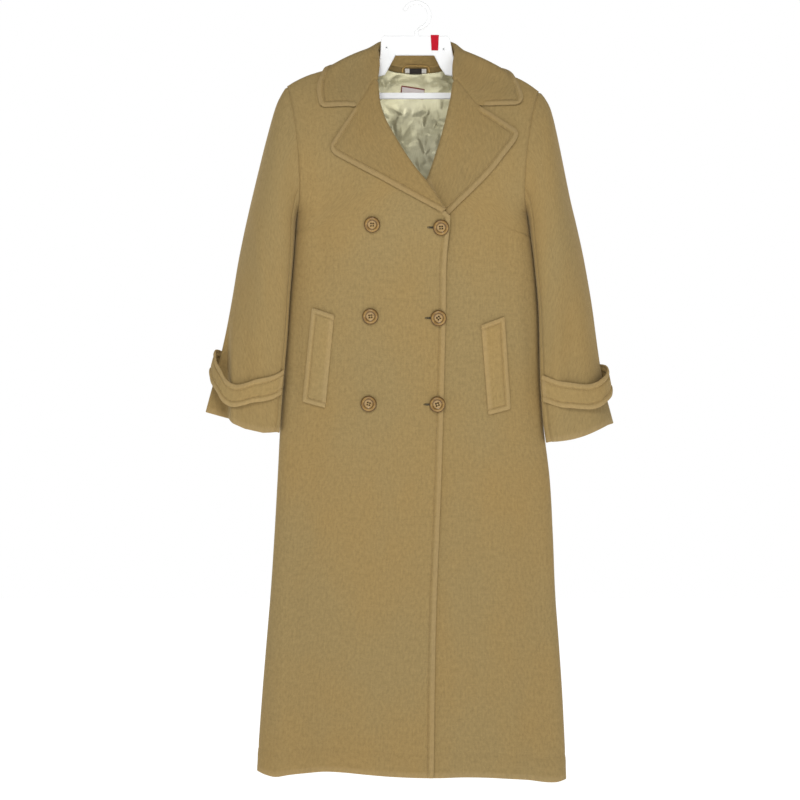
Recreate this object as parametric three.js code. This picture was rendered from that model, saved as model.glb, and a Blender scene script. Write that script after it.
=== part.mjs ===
// A long double-breasted wool coat on a moulded clothes hanger, in millimetres.
// +Z is up, +X is to the right of someone who faces the coat, and the front faces -Y.
// The origin is the crown of the hanger's hook, where a rail bears.
// Right and left in the names are the wearer's, so the right front is at -X and laps over the left.
import * as THREE from 'three';
import { mergeVertices } from 'three/addons/utils/BufferGeometryUtils.js';

// ---------------------------------------------------------------- driving sizes
const CLOTH = 3; // wall of the fulled wool
const SATIN = 1; // wall of the lining
const RIBBON = 0.8; // wall of the woven labels
const SEAM = 0.3; // gap between two pieces at a seam
const SEATED = SEAM + CLOTH; // outer face of a piece that is sewn down on a panel, above that panel
const LAYER = 1.3; // gap between a turned piece, such as a lapel, and the panel that it lies on
const ON_PANEL = LAYER + CLOTH; // outer face of such a turned piece, above the panel
const ROLL_RADIUS = LAYER + CLOTH + CLOTH / 2; // outer radius where a lapel or collar rolls over an edge
const ROLL_RETURN = 13; // how far the rolled cloth runs back inside
const PANEL_EDGE = ROLL_RADIUS + SEAM; // a panel's edge stops this far short of the roll it carries

const UNDERARM = -357; // height of both underarm points
const HEM = -1309; // nominal height of the hem
const SHOULDER_RUN = 150; // height over which the cloth falls from the shoulder ridge to its full depth
const SHOULDER_SQUARE = 1.6; // how the cloth rounds over the ridge: 2 is an ellipse, less is more pointed

// ---------------------------------------------------------------- tables and curves
// Rows of numbers under named columns, read along a smooth curve at any value of the first column.
function table(columns, rows) {
  const slope = (i, c) => {
    const a = rows[Math.max(i - 1, 0)];
    const b = rows[Math.min(i + 1, rows.length - 1)];
    return (b[c] - a[c]) / (b[0] - a[0]);
  };
  const rising = rows[1][0] > rows[0][0];
  return (value) => {
    let i = 0;
    while (i < rows.length - 2 && (rising ? value > rows[i + 1][0] : value < rows[i + 1][0])) i += 1;
    const [a, b] = [rows[i], rows[i + 1]];
    const run = b[0] - a[0];
    const t = Math.min(1, Math.max(0, (value - a[0]) / run));
    const read = {};
    columns.forEach((name, c) => {
      if (c === 0) return;
      const hermite = (2 * t ** 3 - 3 * t ** 2 + 1) * a[c] + (3 * t ** 2 - 2 * t ** 3) * b[c];
      const bend = (t ** 3 - 2 * t ** 2 + t) * slope(i, c) + (t ** 3 - t ** 2) * slope(i + 1, c);
      read[name] = hermite + bend * run;
    });
    return read;
  };
}

const lerp = (a, b, t) => a + (b - a) * t;
const vec = (x, y, z) => new THREE.Vector3(x, y, z);
const steps = (count, from = 0, to = 1) => Array.from({ length: count + 1 }, (_, i) => lerp(from, to, i / count));
const smooth = (value, from, to) => THREE.MathUtils.smoothstep(value, Math.min(from, to), Math.max(from, to));
const signedPower = (value, power) => Math.sign(value) * Math.abs(value) ** power;

// ---------------------------------------------------------------- the body's form
// Height, x of the two side seams, how far front and back stand out from the plane of the seams,
// and how square the section is at its sides (2 is an ellipse). Above the underarm the sides run on into the sleeves.
const body = table(['z', 'left', 'right', 'front', 'back', 'square'], [
  [-1325, -272, 256, 60, 56, 2.5],
  [-1296, -272, 255, 60, 56, 2.5],
  [-1148, -261.5, 247.5, 58, 55, 2.5],
  [-986, -248, 236, 56, 54, 2.5],
  [-825, -238, 229, 56, 54, 2.55],
  [-726, -233, 217, 57, 54, 2.6],
  [-604, -224, 210, 59, 55, 2.7],
  [-468, -214, 205, 64, 58, 3],
  [-357, -204, 189, 68, 61, 3.4],
  [-335, -215, 201, 68, 61, 3.2],
  [-300, -238, 225, 68, 61, 2.9],
  [-250, -266, 254, 67, 61, 2.6],
  [-200, -288, 276, 65, 60, 2.5],
  [-110, -302, 292, 61, 58, 2.5],
  [0, -302, 292, 60, 58, 2.5],
]);

// Height of the shoulder ridge. Between the neck points it runs on over the open neck.
const ridge = table(['x', 'z'], [
  [-262, -172],
  [-221, -138],
  [-187, -120],
  [-157, -111],
  [-76, -87],
  [-40, -62],
  [0, -52],
  [40, -62],
  [76, -89],
  [140, -112],
  [178, -126.5],
  [209, -147],
  [250, -184],
]);

// Soft folds: x where each starts and where it meets the hem, the height at which it starts,
// how far it stands out (or in, if negative) at the hem, and its half width there.
const FRONT_FOLDS = [
  { top: -214, hem: -238, start: -760, out: 7, half: 30 },
  { top: -176, hem: -196, start: -380, out: -9, half: 34 },
  { top: -150, hem: -138, start: -700, out: 5, half: 42 },
  { top: 110, hem: 92, start: -760, out: -5, half: 40 },
  { top: 152, hem: 146, start: -420, out: 6, half: 34 },
  { top: 176, hem: 196, start: -640, out: -7, half: 30 },
];
const BACK_FOLDS = [
  { top: -150, hem: -190, start: -420, out: -9, half: 40 },
  { top: -90, hem: -118, start: -560, out: 8, half: 44 },
  { top: -20, hem: -34, start: -700, out: -6, half: 44 },
  { top: 40, hem: 52, start: -480, out: 8, half: 46 },
  { top: 110, hem: 132, start: -560, out: -8, half: 40 },
  { top: 170, hem: 206, start: -640, out: 7, half: 34 },
];

function foldDepth(folds, x, z) {
  let depth = 0;
  for (const fold of folds) {
    const share = Math.min(1, Math.max(0, (fold.start - z) / (fold.start - HEM)));
    const away = (x - lerp(fold.top, fold.hem, share)) / (fold.half * lerp(0.7, 1, share));
    depth += fold.out * share ** 1.3 * Math.exp(-away * away);
  }
  return depth;
}

const archOf = (drop) => {
  const share = Math.min(1, Math.max(0, drop / SHOULDER_RUN));
  return (1 - (1 - share) ** SHOULDER_SQUARE) ** (1 / SHOULDER_SQUARE);
};
const dropOf = (arch) => {
  const share = Math.min(1, Math.max(0, arch));
  return SHOULDER_RUN * (1 - (1 - share ** SHOULDER_SQUARE) ** (1 / SHOULDER_SQUARE));
};

// How much of the full depth is left towards the side seams.
function sideShare(x, z) {
  const { left, right, square } = body(z);
  const across = Math.min(1, Math.abs(x - (left + right) / 2) / ((right - left) / 2));
  return (1 - across ** square) ** (1 / square);
}

// The right front rides over the left front and, near the top button, over the left lapel too:
// how far it is lifted, and x of the line from which the lift is full.
const lapOver = table(['z', 'lift', 'full'], [
  [-1325, 4, -104],
  [-490, 4, -98],
  [-440, 5.4, -92],
  [-390, 9.5, -84],
  [-350, 12.4, -76],
  [-290, 12.4, -50],
  [-250, 9.6, -56],
  [-200, 5.6, -66],
  [-150, 2.4, -74],
  [-90, 0, -80],
]);
const LAP_FADE = 90; // width over which the lift fades out
// x of the left front's inner edge: hidden under the right front up to its own roll line.
const leftInnerEdge = table(['z', 'x'], [
  [-1325, -96],
  [-800, -92],
  [-400, -86],
  [-357, -74],
  [-332, -22],
  [-309, 12],
  [-296, 18],
  [-271, 27],
  [-234, 39],
  [-193, 50],
  [-157, 58],
  [-130, 61.5],
  [-104, 66],
  [-89, 76],
]);
// x of the right front's free edge, and above the break its roll line.
const rightFrontEdge = table(['z', 'x'], [
  [-1325, 28],
  [-1046, 32],
  [-808, 41],
  [-553, 48],
  [-400, 51],
  [-362, 56],
]);
const rightRoll = table(['z', 'x'], [
  [-362, 56],
  [-339, 43],
  [-298, 14],
  [-271, -8],
  [-225, -37],
  [-193, -54],
  [-166, -62],
  [-130, -65],
  [-104, -67],
  [-88, -76],
]);

// How far the cloth stands out below the shoulders, before it is drawn in towards their ridge.
function fullDepth(side, x, z) {
  const { front, back } = body(z);
  const share = sideShare(x, z);
  if (side === 'back') return (back + foldDepth(BACK_FOLDS, x, z)) * share;
  const { lift, full } = lapOver(z);
  const lap = side === 'right' ? lift * smooth(x, full - LAP_FADE, full) : 0;
  return (front + foldDepth(FRONT_FOLDS, x, z)) * share + lap * Math.min(1, share * 2);
}
const depthAt = (side, x, z) => fullDepth(side, x, z) * archOf(ridge(x).z - z);

// The outer face of the cloth over (x, z): side is 'right' or 'left' for the fronts, or 'back'.
const onBody = (side, x, z) => vec(x, (side === 'back' ? 1 : -1) * depthAt(side, x, z), z);

function bodyNormal(side, x, z) {
  const step = 1;
  const alongX = onBody(side, x + step, z).sub(onBody(side, x - step, z));
  const alongZ = onBody(side, x, z + step).sub(onBody(side, x, z - step));
  const normal = alongX.cross(alongZ).normalize();
  return side === 'back' ? normal.negate() : normal;
}

// Distance from a point to the outer face of the front or back, positive outside, and the way out.
function clearanceOf(side, p) {
  const outside = (q) => {
    const depth = Math.max(1, fullDepth(q.y > 0 ? 'back' : side, q.x, q.z));
    const above = Math.max(0, 1 - (ridge(q.x).z - q.z) / SHOULDER_RUN);
    return ((Math.abs(q.y) / depth) ** SHOULDER_SQUARE + above ** SHOULDER_SQUARE) ** (1 / SHOULDER_SQUARE) - 1;
  };
  const step = 0.5;
  const change = (axis) => (outside(p.clone().addScaledVector(axis, step))
    - outside(p.clone().addScaledVector(axis, -step))) / (2 * step);
  const slope = vec(change(vec(1, 0, 0)), change(vec(0, 1, 0)), change(vec(0, 0, 1)));
  return { gap: outside(p) / slope.length(), away: slope.normalize() };
}

// Moves a point out until it clears the body by at least the given gap.
function pushOut(side, p, gap) {
  for (let turn = 0; turn < 6; turn += 1) {
    const { gap: found, away } = clearanceOf(side, p);
    if (found >= gap) break;
    p.addScaledVector(away, gap - found);
  }
  return p;
}

// ---------------------------------------------------------------- walls of cloth
// Makes a closed wall from a surface (u, v) that is its outer face. seams says, for each of the four edges,
// how far that edge is pulled back, and how its normals turn so that the rims of both pieces at a seam face each other.
function wall(surface, us, vs, { thickness = CLOTH, flip = false, seams = {}, beyond = false } = {}) {
  const limit = (value, list) => (beyond ? value : Math.min(list.at(-1), Math.max(list[0], value)));
  const du = (us.at(-1) - us[0]) * 1e-3;
  const dv = (vs.at(-1) - vs[0]) * 1e-3;
  const rows = vs.map((v) => us.map((u) => surface(u, v)));
  const normals = vs.map((v) => us.map((u) => {
    const alongU = surface(limit(u + du, us), v).sub(surface(limit(u - du, us), v));
    const alongV = surface(u, Math.min(vs.at(-1), v + dv)).sub(surface(u, Math.max(vs[0], v - dv)));
    const normal = alongU.cross(alongV).normalize();
    return flip ? normal.negate() : normal;
  }));
  const last = { row: vs.length - 1, column: us.length - 1 };
  const edges = {
    u0: vs.map((_, i) => [i, 0, i, 1]),
    u1: vs.map((_, i) => [i, last.column, i, last.column - 1]),
    v0: us.map((_, j) => [0, j, 1, j]),
    v1: us.map((_, j) => [last.row, j, last.row - 1, j]),
  };
  for (const [edge, { back = 0, square }] of Object.entries(seams)) {
    for (const [i, j, ni, nj] of edges[edge]) {
      const inward = rows[ni][nj].clone().sub(rows[i][j]).normalize();
      rows[i][j].addScaledVector(inward, back);
      if (square) square(normals[i][j], us[j], vs[i]);
    }
  }
  const inner = rows.map((row, i) => row.map((p, j) => p.clone().addScaledVector(normals[i][j], -thickness)));
  return closeGrid(rows, inner, flip);
}

// A closed geometry between two grids of points, the first of which faces out.
function closeGrid(outer, inner, flip) {
  const height = outer.length;
  const width = outer[0].length;
  const positions = [...outer.flat(), ...inner.flat()].flatMap((p) => [p.x, p.y, p.z]);
  const index = [];
  const at = (layer, i, j) => layer * height * width + i * width + j;
  const quad = (a, b, c, d) => index.push(...(flip ? [a, c, b, a, d, c] : [a, b, c, a, c, d]));
  for (let i = 0; i < height - 1; i += 1) {
    for (let j = 0; j < width - 1; j += 1) {
      quad(at(0, i, j), at(0, i, j + 1), at(0, i + 1, j + 1), at(0, i + 1, j));
      quad(at(1, i, j), at(1, i + 1, j), at(1, i + 1, j + 1), at(1, i, j + 1));
    }
  }
  for (let j = 0; j < width - 1; j += 1) {
    quad(at(1, 0, j), at(1, 0, j + 1), at(0, 0, j + 1), at(0, 0, j));
    quad(at(0, height - 1, j), at(0, height - 1, j + 1), at(1, height - 1, j + 1), at(1, height - 1, j));
  }
  for (let i = 0; i < height - 1; i += 1) {
    quad(at(0, i + 1, 0), at(1, i + 1, 0), at(1, i, 0), at(0, i, 0));
    quad(at(1, i, width - 1), at(1, i + 1, width - 1), at(0, i + 1, width - 1), at(0, i, width - 1));
  }
  const geometry = new THREE.BufferGeometry();
  geometry.setAttribute('position', new THREE.Float32BufferAttribute(positions, 3));
  geometry.setIndex(index);
  geometry.computeVertexNormals();
  return geometry;
}

const coat = new THREE.Group();
const material = (color, roughness, metalness = 0) => new THREE.MeshStandardMaterial({ color, roughness, metalness });
const camelWool = material('#a98a5b', 0.95);
const champagneSatin = material('#c4bc92', 0.35);
const hornButton = material('#a9743f', 0.4);
const ribbonWhite = material('#e9e4dc', 0.8);
const ribbonBlack = material('#2b2622', 0.8);
const satinCord = material('#b98f3e', 0.5);
const whitePlastic = material('#f0f0ee', 0.35);
const redPlastic = material('#c4122f', 0.4);

function add(name, geometry, finish) {
  const mesh = new THREE.Mesh(geometry, finish);
  mesh.name = name;
  coat.add(mesh);
  return mesh;
}

// ---------------------------------------------------------------- armholes and sleeves
const ARMHOLE_AXIS = vec(1, 0, 0); // along both arms, square to the armholes near enough
const level = (normal) => normal.setY(0).normalize(); // for a seam that lies in the plane of the side seams

// Each row is one ring of the sleeve, from the armhole to the cuff: its inner and outer points,
// half its depth, how far its middle is drawn forward, how much it slants in plan,
// how far its front and back bow towards the neck, and how square it is.
const SLEEVE_COLUMNS = ['ring', 'ix', 'iz', 'ox', 'oz', 'half', 'fore', 'slant', 'bow', 'square'];
const sleeves = {
  right: table(SLEEVE_COLUMNS, [
    [0, -204, -357, -221, -138, 50, 0, 0, 9, 2.3],
    [1, -205.6, -361, -237, -168, 52, 0, 0, 7, 2.2],
    [2, -206, -367, -250, -210, 54, 0, 0.06, 3.5, 2.2],
    [3, -206.8, -377, -264, -263, 54, 1, 0.16, 1, 2.2],
    [4, -207.6, -397, -278, -320, 53, 2, 0.28, 0, 2.2],
    [5, -210, -434, -291, -376, 50, 3, 0.4, 0, 2.2],
    [6, -213.4, -482, -304, -440, 46, 4, 0.48, 0, 2.3],
    [7, -217.2, -538, -316, -512, 42, 5, 0.52, 0, 2.4],
    [8, -221.8, -602, -330, -583, 38, 6, 0.56, 0, 2.6],
    [9, -229, -665, -345, -640, 35, 6, 0.6, 0, 2.8],
    [10, -235, -727, -359, -692, 33, 6, 0.6, 0, 2.9],
  ]),
  left: table(SLEEVE_COLUMNS, [
    [0, 189, -357, 209, -147, 50, 0, 0, -9, 2.3],
    [1, 191.1, -361, 226, -173, 52, 0, 0, -7, 2.2],
    [2, 191.8, -367, 238, -217, 54, 0, 0.06, -3.5, 2.2],
    [3, 193, -377, 250.5, -276, 54, 1, 0.16, -1, 2.2],
    [4, 194.4, -397, 263, -336, 53, 2, 0.28, 0, 2.2],
    [5, 198.6, -434, 278, -399, 50, 3, 0.38, 0, 2.2],
    [6, 204.6, -482, 290, -460, 46, 4, 0.44, 0, 2.3],
    [7, 207.8, -538, 301, -527, 42, 5, 0.46, 0, 2.4],
    [8, 208.8, -602, 309.5, -593, 38, 6, 0.44, 0, 2.5],
    [9, 210.8, -668, 320, -652, 35, 6, 0.42, 0, 2.6],
    [10, 221, -744, 335, -711, 33, 6, 0.4, 0, 2.7],
  ]),
};

// A point of a sleeve. The angle is 0 at the outer side, 180 at the inner side, and positive over the front.
// The first ring lies on the body, and the rings after it leave its form by and by.
function onSleeve(side, angle, ring) {
  const ringPoint = (r) => {
    const c = signedPower(Math.cos(THREE.MathUtils.degToRad(angle)), 2 / r.square);
    const s = signedPower(Math.sin(THREE.MathUtils.degToRad(angle)), 2 / r.square);
    const blunt = r.square / (r.square - 1);
    const across = (c - r.slant * s) / (1 + Math.abs(r.slant) ** blunt) ** (1 / blunt);
    return vec(
      (r.ix + r.ox) / 2 + across * (r.ox - r.ix) / 2 + r.bow * s * s,
      -r.fore - r.half * s,
      (r.iz + r.oz) / 2 + across * (r.oz - r.iz) / 2,
    );
  };
  const p = ringPoint(sleeves[side](ring));
  const first = ringPoint(sleeves[side](0));
  const overFront = Math.sin(THREE.MathUtils.degToRad(angle)) > 0;
  const bodyY = overFront ? -depthAt(side, first.x, first.z) : depthAt('back', first.x, first.z);
  p.y = lerp(bodyY, p.y, smooth(ring, 0, 2.2));
  return p;
}

function sleeveNormal(side, angle, ring) {
  const alongAngle = onSleeve(side, angle + 1, ring).sub(onSleeve(side, angle - 1, ring));
  const alongRing = onSleeve(side, angle, ring + 0.02).sub(onSleeve(side, angle, ring - 0.02));
  const normal = alongAngle.cross(alongRing).normalize();
  return side === 'right' ? normal.negate() : normal;
}

// The armhole is the sleeve's first ring: height is 0 at the underarm and 1 at the shoulder.
function armhole(side, height, faces) {
  const angle = armholeAngle(height);
  return onSleeve(side, faces === 'back' ? -angle : angle, 0);
}

// The direction out from an armhole at an angle, which the rims of body and sleeve share.
function armholeNormal(side, angle) {
  const along = onSleeve(side, angle + 1, 0).sub(onSleeve(side, angle - 1, 0));
  return along.cross(ARMHOLE_AXIS).normalize();
}
// Body and sleeves share the points of the armholes at these angles.
const ARMHOLE_ANGLES = [180, 164, 148, 134, 122, 111, 100, 90, 80, 70, 59, 47, 34, 18, 0];
const ARMHOLE_SQUARE = 2.3;
const armholeHeight = (angle) => (
  1 + signedPower(Math.cos(THREE.MathUtils.degToRad(angle)), 2 / ARMHOLE_SQUARE)) / 2;
const armholeAngle = (height) => THREE.MathUtils.radToDeg(
  Math.acos(signedPower(2 * Math.min(1, height) - 1, ARMHOLE_SQUARE / 2)),
);

// Normals along the edge of a body panel that runs up the side seam and round the armhole.
const sideEdge = (side, faces) => (normal, u, v) => {
  if (v < 1) return level(normal);
  const angle = armholeAngle(v - 1);
  return normal.copy(armholeNormal(side, faces === 'back' ? -angle : angle));
};

// The sleeve's two seams: the forearm seam at the front and the elbow seam at the back.
const SLEEVE_SEAMS = table(['ring', 'forearm', 'elbow'], [
  [0, 122, -90],
  [4, 131, -100],
  [7, 132, -110],
  [9, 126, -114],
  [10, 124, -116],
]);

function makeSleeve(side) {
  const flip = side === 'left';
  const upper = (u, ring) => {
    const { forearm, elbow } = SLEEVE_SEAMS(ring);
    return onSleeve(side, lerp(forearm, elbow, u), ring);
  };
  const under = (u, ring) => {
    const { forearm, elbow } = SLEEVE_SEAMS(ring);
    return onSleeve(side, lerp(360 + elbow, forearm, u), ring);
  };
  const rings = [0, 0.5, 1, 1.5, 2, 2.5, 3, 3.5, 4, 4.6, 5.3, 6, 6.8, 7.6, 8.4, 9.2, 9.93, 10];
  const { forearm, elbow } = SLEEVE_SEAMS(0);
  const turned = (from, to) => (normal, u) => normal.copy(armholeNormal(side, lerp(from, to, u)));
  const edges = { u0: { back: SEAM * 0.8 }, u1: { back: SEAM * 0.8 } };
  const upperSeams = { ...edges, v0: { back: SEAM, square: turned(forearm, elbow) } };
  const underSeams = { ...edges, v0: { back: SEAM * 1.6, square: turned(360 + elbow, forearm) } };
  const upperAngles = [...ARMHOLE_ANGLES, ...ARMHOLE_ANGLES.slice(0, -1).map((angle) => -angle).reverse()]
    .filter((angle) => angle <= forearm && angle >= elbow);
  const underAngles = [...ARMHOLE_ANGLES, ...ARMHOLE_ANGLES.slice(1).map((angle) => 360 - angle)]
    .filter((angle) => angle >= forearm && angle <= 360 + elbow).sort((a, b) => b - a);
  const acrossUpper = upperAngles.map((angle) => (forearm - angle) / (forearm - elbow));
  const acrossUnder = underAngles.map((angle) => (360 + elbow - angle) / (360 + elbow - forearm));
  add(`sleeve_upper_${side}`, wall(upper, acrossUpper, rings, { flip, seams: upperSeams, beyond: true }), camelWool);
  add(`sleeve_under_${side}`, wall(under, acrossUnder, rings, { flip, seams: underSeams, beyond: true }), camelWool);
}

// ---------------------------------------------------------------- fronts
const hemDrop = table(['x', 'z'], [
  [-272, -1301],
  [-245, -1310],
  [-219, -1307],
  [-184, -1303],
  [-154, -1300],
  [-126, -1301],
  [-52, -1308],
  [28, -1311],
  [100, -1310],
  [180, -1314],
  [233, -1320],
  [256, -1315],
]);
const backHemDrop = table(['x', 'z'], [
  [-272, -1301],
  [-200, -1303],
  [-100, -1296],
  [0, -1303],
  [100, -1299],
  [200, -1307],
  [256, -1315],
]);

const RISE_LOW = [0, 0.006, 0.07, 0.15, 0.24, 0.33, 0.43, 0.53, 0.63, 0.73, 0.83, 0.92];
// v runs from 0 at the hem to 1 at the underarm and 2 at the shoulder seam.
const ROWS = [...RISE_LOW, ...ARMHOLE_ANGLES.map((angle) => 1 + armholeHeight(angle))];
const towardsSide = (u) => 1 - Math.cos(u * Math.PI / 2);

// One front. u is 0 at the side seam and armhole, and 1 at the front edge and roll line.
function frontSurface(side) {
  const sign = side === 'right' ? 1 : -1;
  const seamX = (z) => (side === 'right' ? body(z).left : body(z).right);
  const edgeX = (z) => (side === 'right' ? rightFrontEdge(z).x : leftInnerEdge(z).x);
  const rollX = (z) => (side === 'right' ? rightRoll(z).x : leftInnerEdge(z).x);
  const breakZ = side === 'right' ? -362 : UNDERARM;
  const neckZ = side === 'right' ? -88 : -89;
  const retreat = (v) => PANEL_EDGE * Math.min(1, (v - 1) * 30) * (1 - smooth(v, 1.93, 2));
  const innerX = (v) => (v <= 1 ? edgeX(lerp(HEM, breakZ, v)) : rollX(lerp(breakZ, neckZ, v - 1)) - sign * retreat(v));
  return (u, v) => {
    const spread = towardsSide(u) * (1 - 0.35 * u) + 0.35 * u * u;
    if (v <= 1) {
      const hemX = lerp(seamX(HEM), innerX(0), spread);
      const z = lerp(HEM, lerp(UNDERARM, breakZ, spread), v) + (hemDrop(hemX).z - HEM) * (1 - v) ** 2;
      const p = onBody(side, lerp(seamX(z), innerX(v), spread), z);
      p.y = Math.min(p.y, -SEAM / 2);
      return p;
    }
    const rise = v - 1;
    const hole = armhole(side, rise, 'front');
    const x = lerp(hole.x, innerX(v), spread);
    const topX = lerp(armhole(side, 1, 'front').x, innerX(2), spread);
    const z = lerp(lerp(UNDERARM, breakZ, spread), ridge(topX).z, rise);
    const p = onBody(side, x, lerp(hole.z, z, smooth(spread, 0, 0.05)));
    p.y = Math.min(p.y, -SEAM / 2);
    return p;
  };
}

function makeFront(side, columns) {
  const flip = side === 'left';
  const seams = {
    v1: { square: level },
    u0: { back: SEAM / 2, square: sideEdge(side, 'front') },
  };
  const us = [...steps(columns).slice(0, -1), 0.985, 1];
  add(`front_${side}`, wall(frontSurface(side), us, ROWS, { flip, seams }), camelWool);
}

// ---------------------------------------------------------------- back
const NECK_LEFT = vec(-76, 0, -88);
const NECK_RIGHT = vec(76, 0, -89);
const NECK_DIP = 17; // the back of the neck seam lies this far below the neck points

function backTop(u) {
  const start = armhole('right', 1, 'back').x;
  const end = armhole('left', 1, 'back').x;
  const [shoulder, neck] = [0.28, 0.72];
  if (u < shoulder) return lerp(start, NECK_LEFT.x, u / shoulder);
  if (u > neck) return lerp(NECK_RIGHT.x, end, (u - neck) / (1 - neck));
  return lerp(NECK_LEFT.x, NECK_RIGHT.x, (u - shoulder) / (neck - shoulder));
}
const neckSeamZ = (x) => lerp(NECK_LEFT.z, NECK_RIGHT.z, (x - NECK_LEFT.x) / (NECK_RIGHT.x - NECK_LEFT.x))
  - NECK_DIP * Math.max(0, 1 - (x / NECK_RIGHT.x) ** 2) ** 0.75;
const backTopZ = (x) => (x < NECK_LEFT.x || x > NECK_RIGHT.x ? ridge(x).z : neckSeamZ(x));

// u is 0 at the right side seam and armhole, and 1 at the left ones.
function backSurface(u, v) {
  const even = (1 - Math.cos(u * Math.PI)) / 2;
  if (v <= 1) {
    const hem = body(HEM);
    const z = lerp(HEM, UNDERARM, v) + (backHemDrop(lerp(hem.left, hem.right, even)).z - HEM) * (1 - v) ** 2;
    const { left, right } = body(z);
    const p = onBody('back', lerp(left, right, even), z);
    p.y = Math.max(p.y, SEAM / 2);
    return p;
  }
  const rise = v - 1;
  const [near, far] = [armhole('right', rise, 'back'), armhole('left', rise, 'back')];
  const top = backTop(u);
  const topShare = (top - backTop(0)) / (backTop(1) - backTop(0));
  const share = lerp(even, topShare, smooth(rise, 0, 1));
  const x = lerp(near.x, far.x, share);
  const p = onBody('back', x, lerp(UNDERARM, backTopZ(top), rise));
  p.y = Math.max(p.y, SEAM / 2);
  return p;
}

const BACK_COLUMNS = [...steps(6, 0, 0.28), ...steps(8, 0.28, 0.72).slice(1), ...steps(6, 0.72, 1).slice(1)];

function makeBack() {
  const seams = {
    v1: { square: level },
    u0: { back: SEAM / 2, square: sideEdge('right', 'back') },
    u1: { back: SEAM / 2, square: sideEdge('left', 'back') },
  };
  add('back', wall(backSurface, BACK_COLUMNS, ROWS, { flip: true, seams }), camelWool);
}

// ---------------------------------------------------------------- lapels
// x of the left front's roll line, which runs on a little way under the right lapel.
const leftRoll = table(['z', 'x'], [
  [-303, 14],
  [-296, 18],
  [-271, 27],
  [-234, 39],
  [-193, 50],
  [-157, 58],
  [-131, 61.5],
]);
// Outer edges of the lapels from the break to the tip.
const lapelEdges = {
  right: table(['t', 'x', 'z'], [
    [0, 42, -354.5],
    [0.12, 10, -337.5],
    [0.25, -24, -319],
    [0.5, -90, -283],
    [0.7, -124, -264.5],
    [0.86, -140, -255],
    [1, -146, -243],
  ]),
  left: table(['t', 'x', 'z'], [
    [0, 46, -366],
    [0.12, 71, -341],
    [0.3, 104, -309],
    [0.5, 130, -281],
    [0.7, 151, -254],
    [0.88, 167, -233],
    [1, 172, -218],
  ]),
};
const GORGE_TOP = -131; // height at which collar and lapel meet on the roll line
const NOTCH = { right: vec(-100, 0, -175), left: vec(105, 0, -175) };

// A section that wraps an edge of a body panel. b runs from -2 at the end of the return, through -1 to 1
// round the roll, to 2 at the outer edge. (x, z) is the roll line, (inX, inZ) the way from it into the panel,
// and run the length of the return.
function rolledOnBody(side, b, { x, z, inX, inZ, run }, edge, sag, peak) {
  const on = (w, height) => onBody(side, x + inX * w, z + inZ * w)
    .addScaledVector(bodyNormal(side, x + inX * w, z + inZ * w), height);
  if (b < -1) return on(ROLL_RADIUS + run * (-1 - b), -CLOTH / 2 - ROLL_RADIUS);
  if (b < 1) {
    const turn = b * Math.PI / 2;
    return on(ROLL_RADIUS * (1 - Math.cos(turn)), -CLOTH / 2 + ROLL_RADIUS * Math.sin(turn));
  }
  const f = b - 1;
  const px = lerp(x + inX * ROLL_RADIUS, edge.x, f);
  const pz = lerp(z + inZ * ROLL_RADIUS, edge.z, f) - sag * Math.min(f / peak, (1 - f) / (1 - peak));
  return onBody(side, px, pz).addScaledVector(bodyNormal(side, px, pz), ON_PANEL);
}

const AROUND_ROLL = [-2, -1, -0.67, -0.33, 0, 0.33, 0.67, 1];

// How far the notch lies below the straight line from the roll line to the tip, and where along it.
function notchOf(side, x, z, inX, tip) {
  const peak = (NOTCH[side].x - x - inX * ROLL_RADIUS) / (tip.x - x - inX * ROLL_RADIUS);
  return { peak, sag: lerp(z, tip.z, peak) - NOTCH[side].z };
}

function makeLapel(side) {
  const inward = side === 'right' ? -1 : 1;
  const rollLine = (t) => {
    const z = lerp(side === 'right' ? -349 : -303, GORGE_TOP, t);
    return { x: side === 'right' ? rightRoll(z).x : leftRoll(z).x, z };
  };
  const { peak, sag } = notchOf(side, rollLine(1).x, GORGE_TOP, inward, lapelEdges[side](1));
  const surface = (b, t) => {
    const at = rollLine(t);
    const [before, after] = [rollLine(t - 0.01), rollLine(t + 0.01)];
    const along = vec(after.x - before.x, 0, after.z - before.z).normalize();
    const flat = smooth(t, 0.8, 1); // near the gorge the roll is taken straight across
    const inX = lerp(inward * along.z, inward, flat);
    const inZ = lerp(-inward * along.x, 0, flat);
    const roll = { ...at, inX, inZ, run: ROLL_RETURN };
    return rolledOnBody(side, b, roll, lapelEdges[side](t), sag * smooth(t, 0.55, 1), peak);
  };
  const seams = { v1: { back: SEAM * 0.6, square: squareToGorge(side) } };
  const across = [...AROUND_ROLL, ...[0.5, 1].map((f) => 1 + f * peak), ...[0.25, 0.5, 0.75, 0.93, 1].map(
    (f) => 1 + lerp(peak, 1, f),
  )];
  const along = [0, 0.05, 0.12, 0.22, 0.33, 0.44, 0.53, 0.61, 0.68, 0.76, 0.85, 0.93, 1];
  add(`lapel_${side}`, wall(surface, across, along, { flip: side === 'right', seams }), camelWool);
}

// Along the gorge the rims of collar and lapel both stand square to the front below them.
const squareToGorge = (side) => (normal, b) => {
  if (b < 1) return normal.setZ(0).normalize();
  const { x, z } = NOTCH[side];
  return normal.copy(bodyNormal(side, x, z));
};

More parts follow.
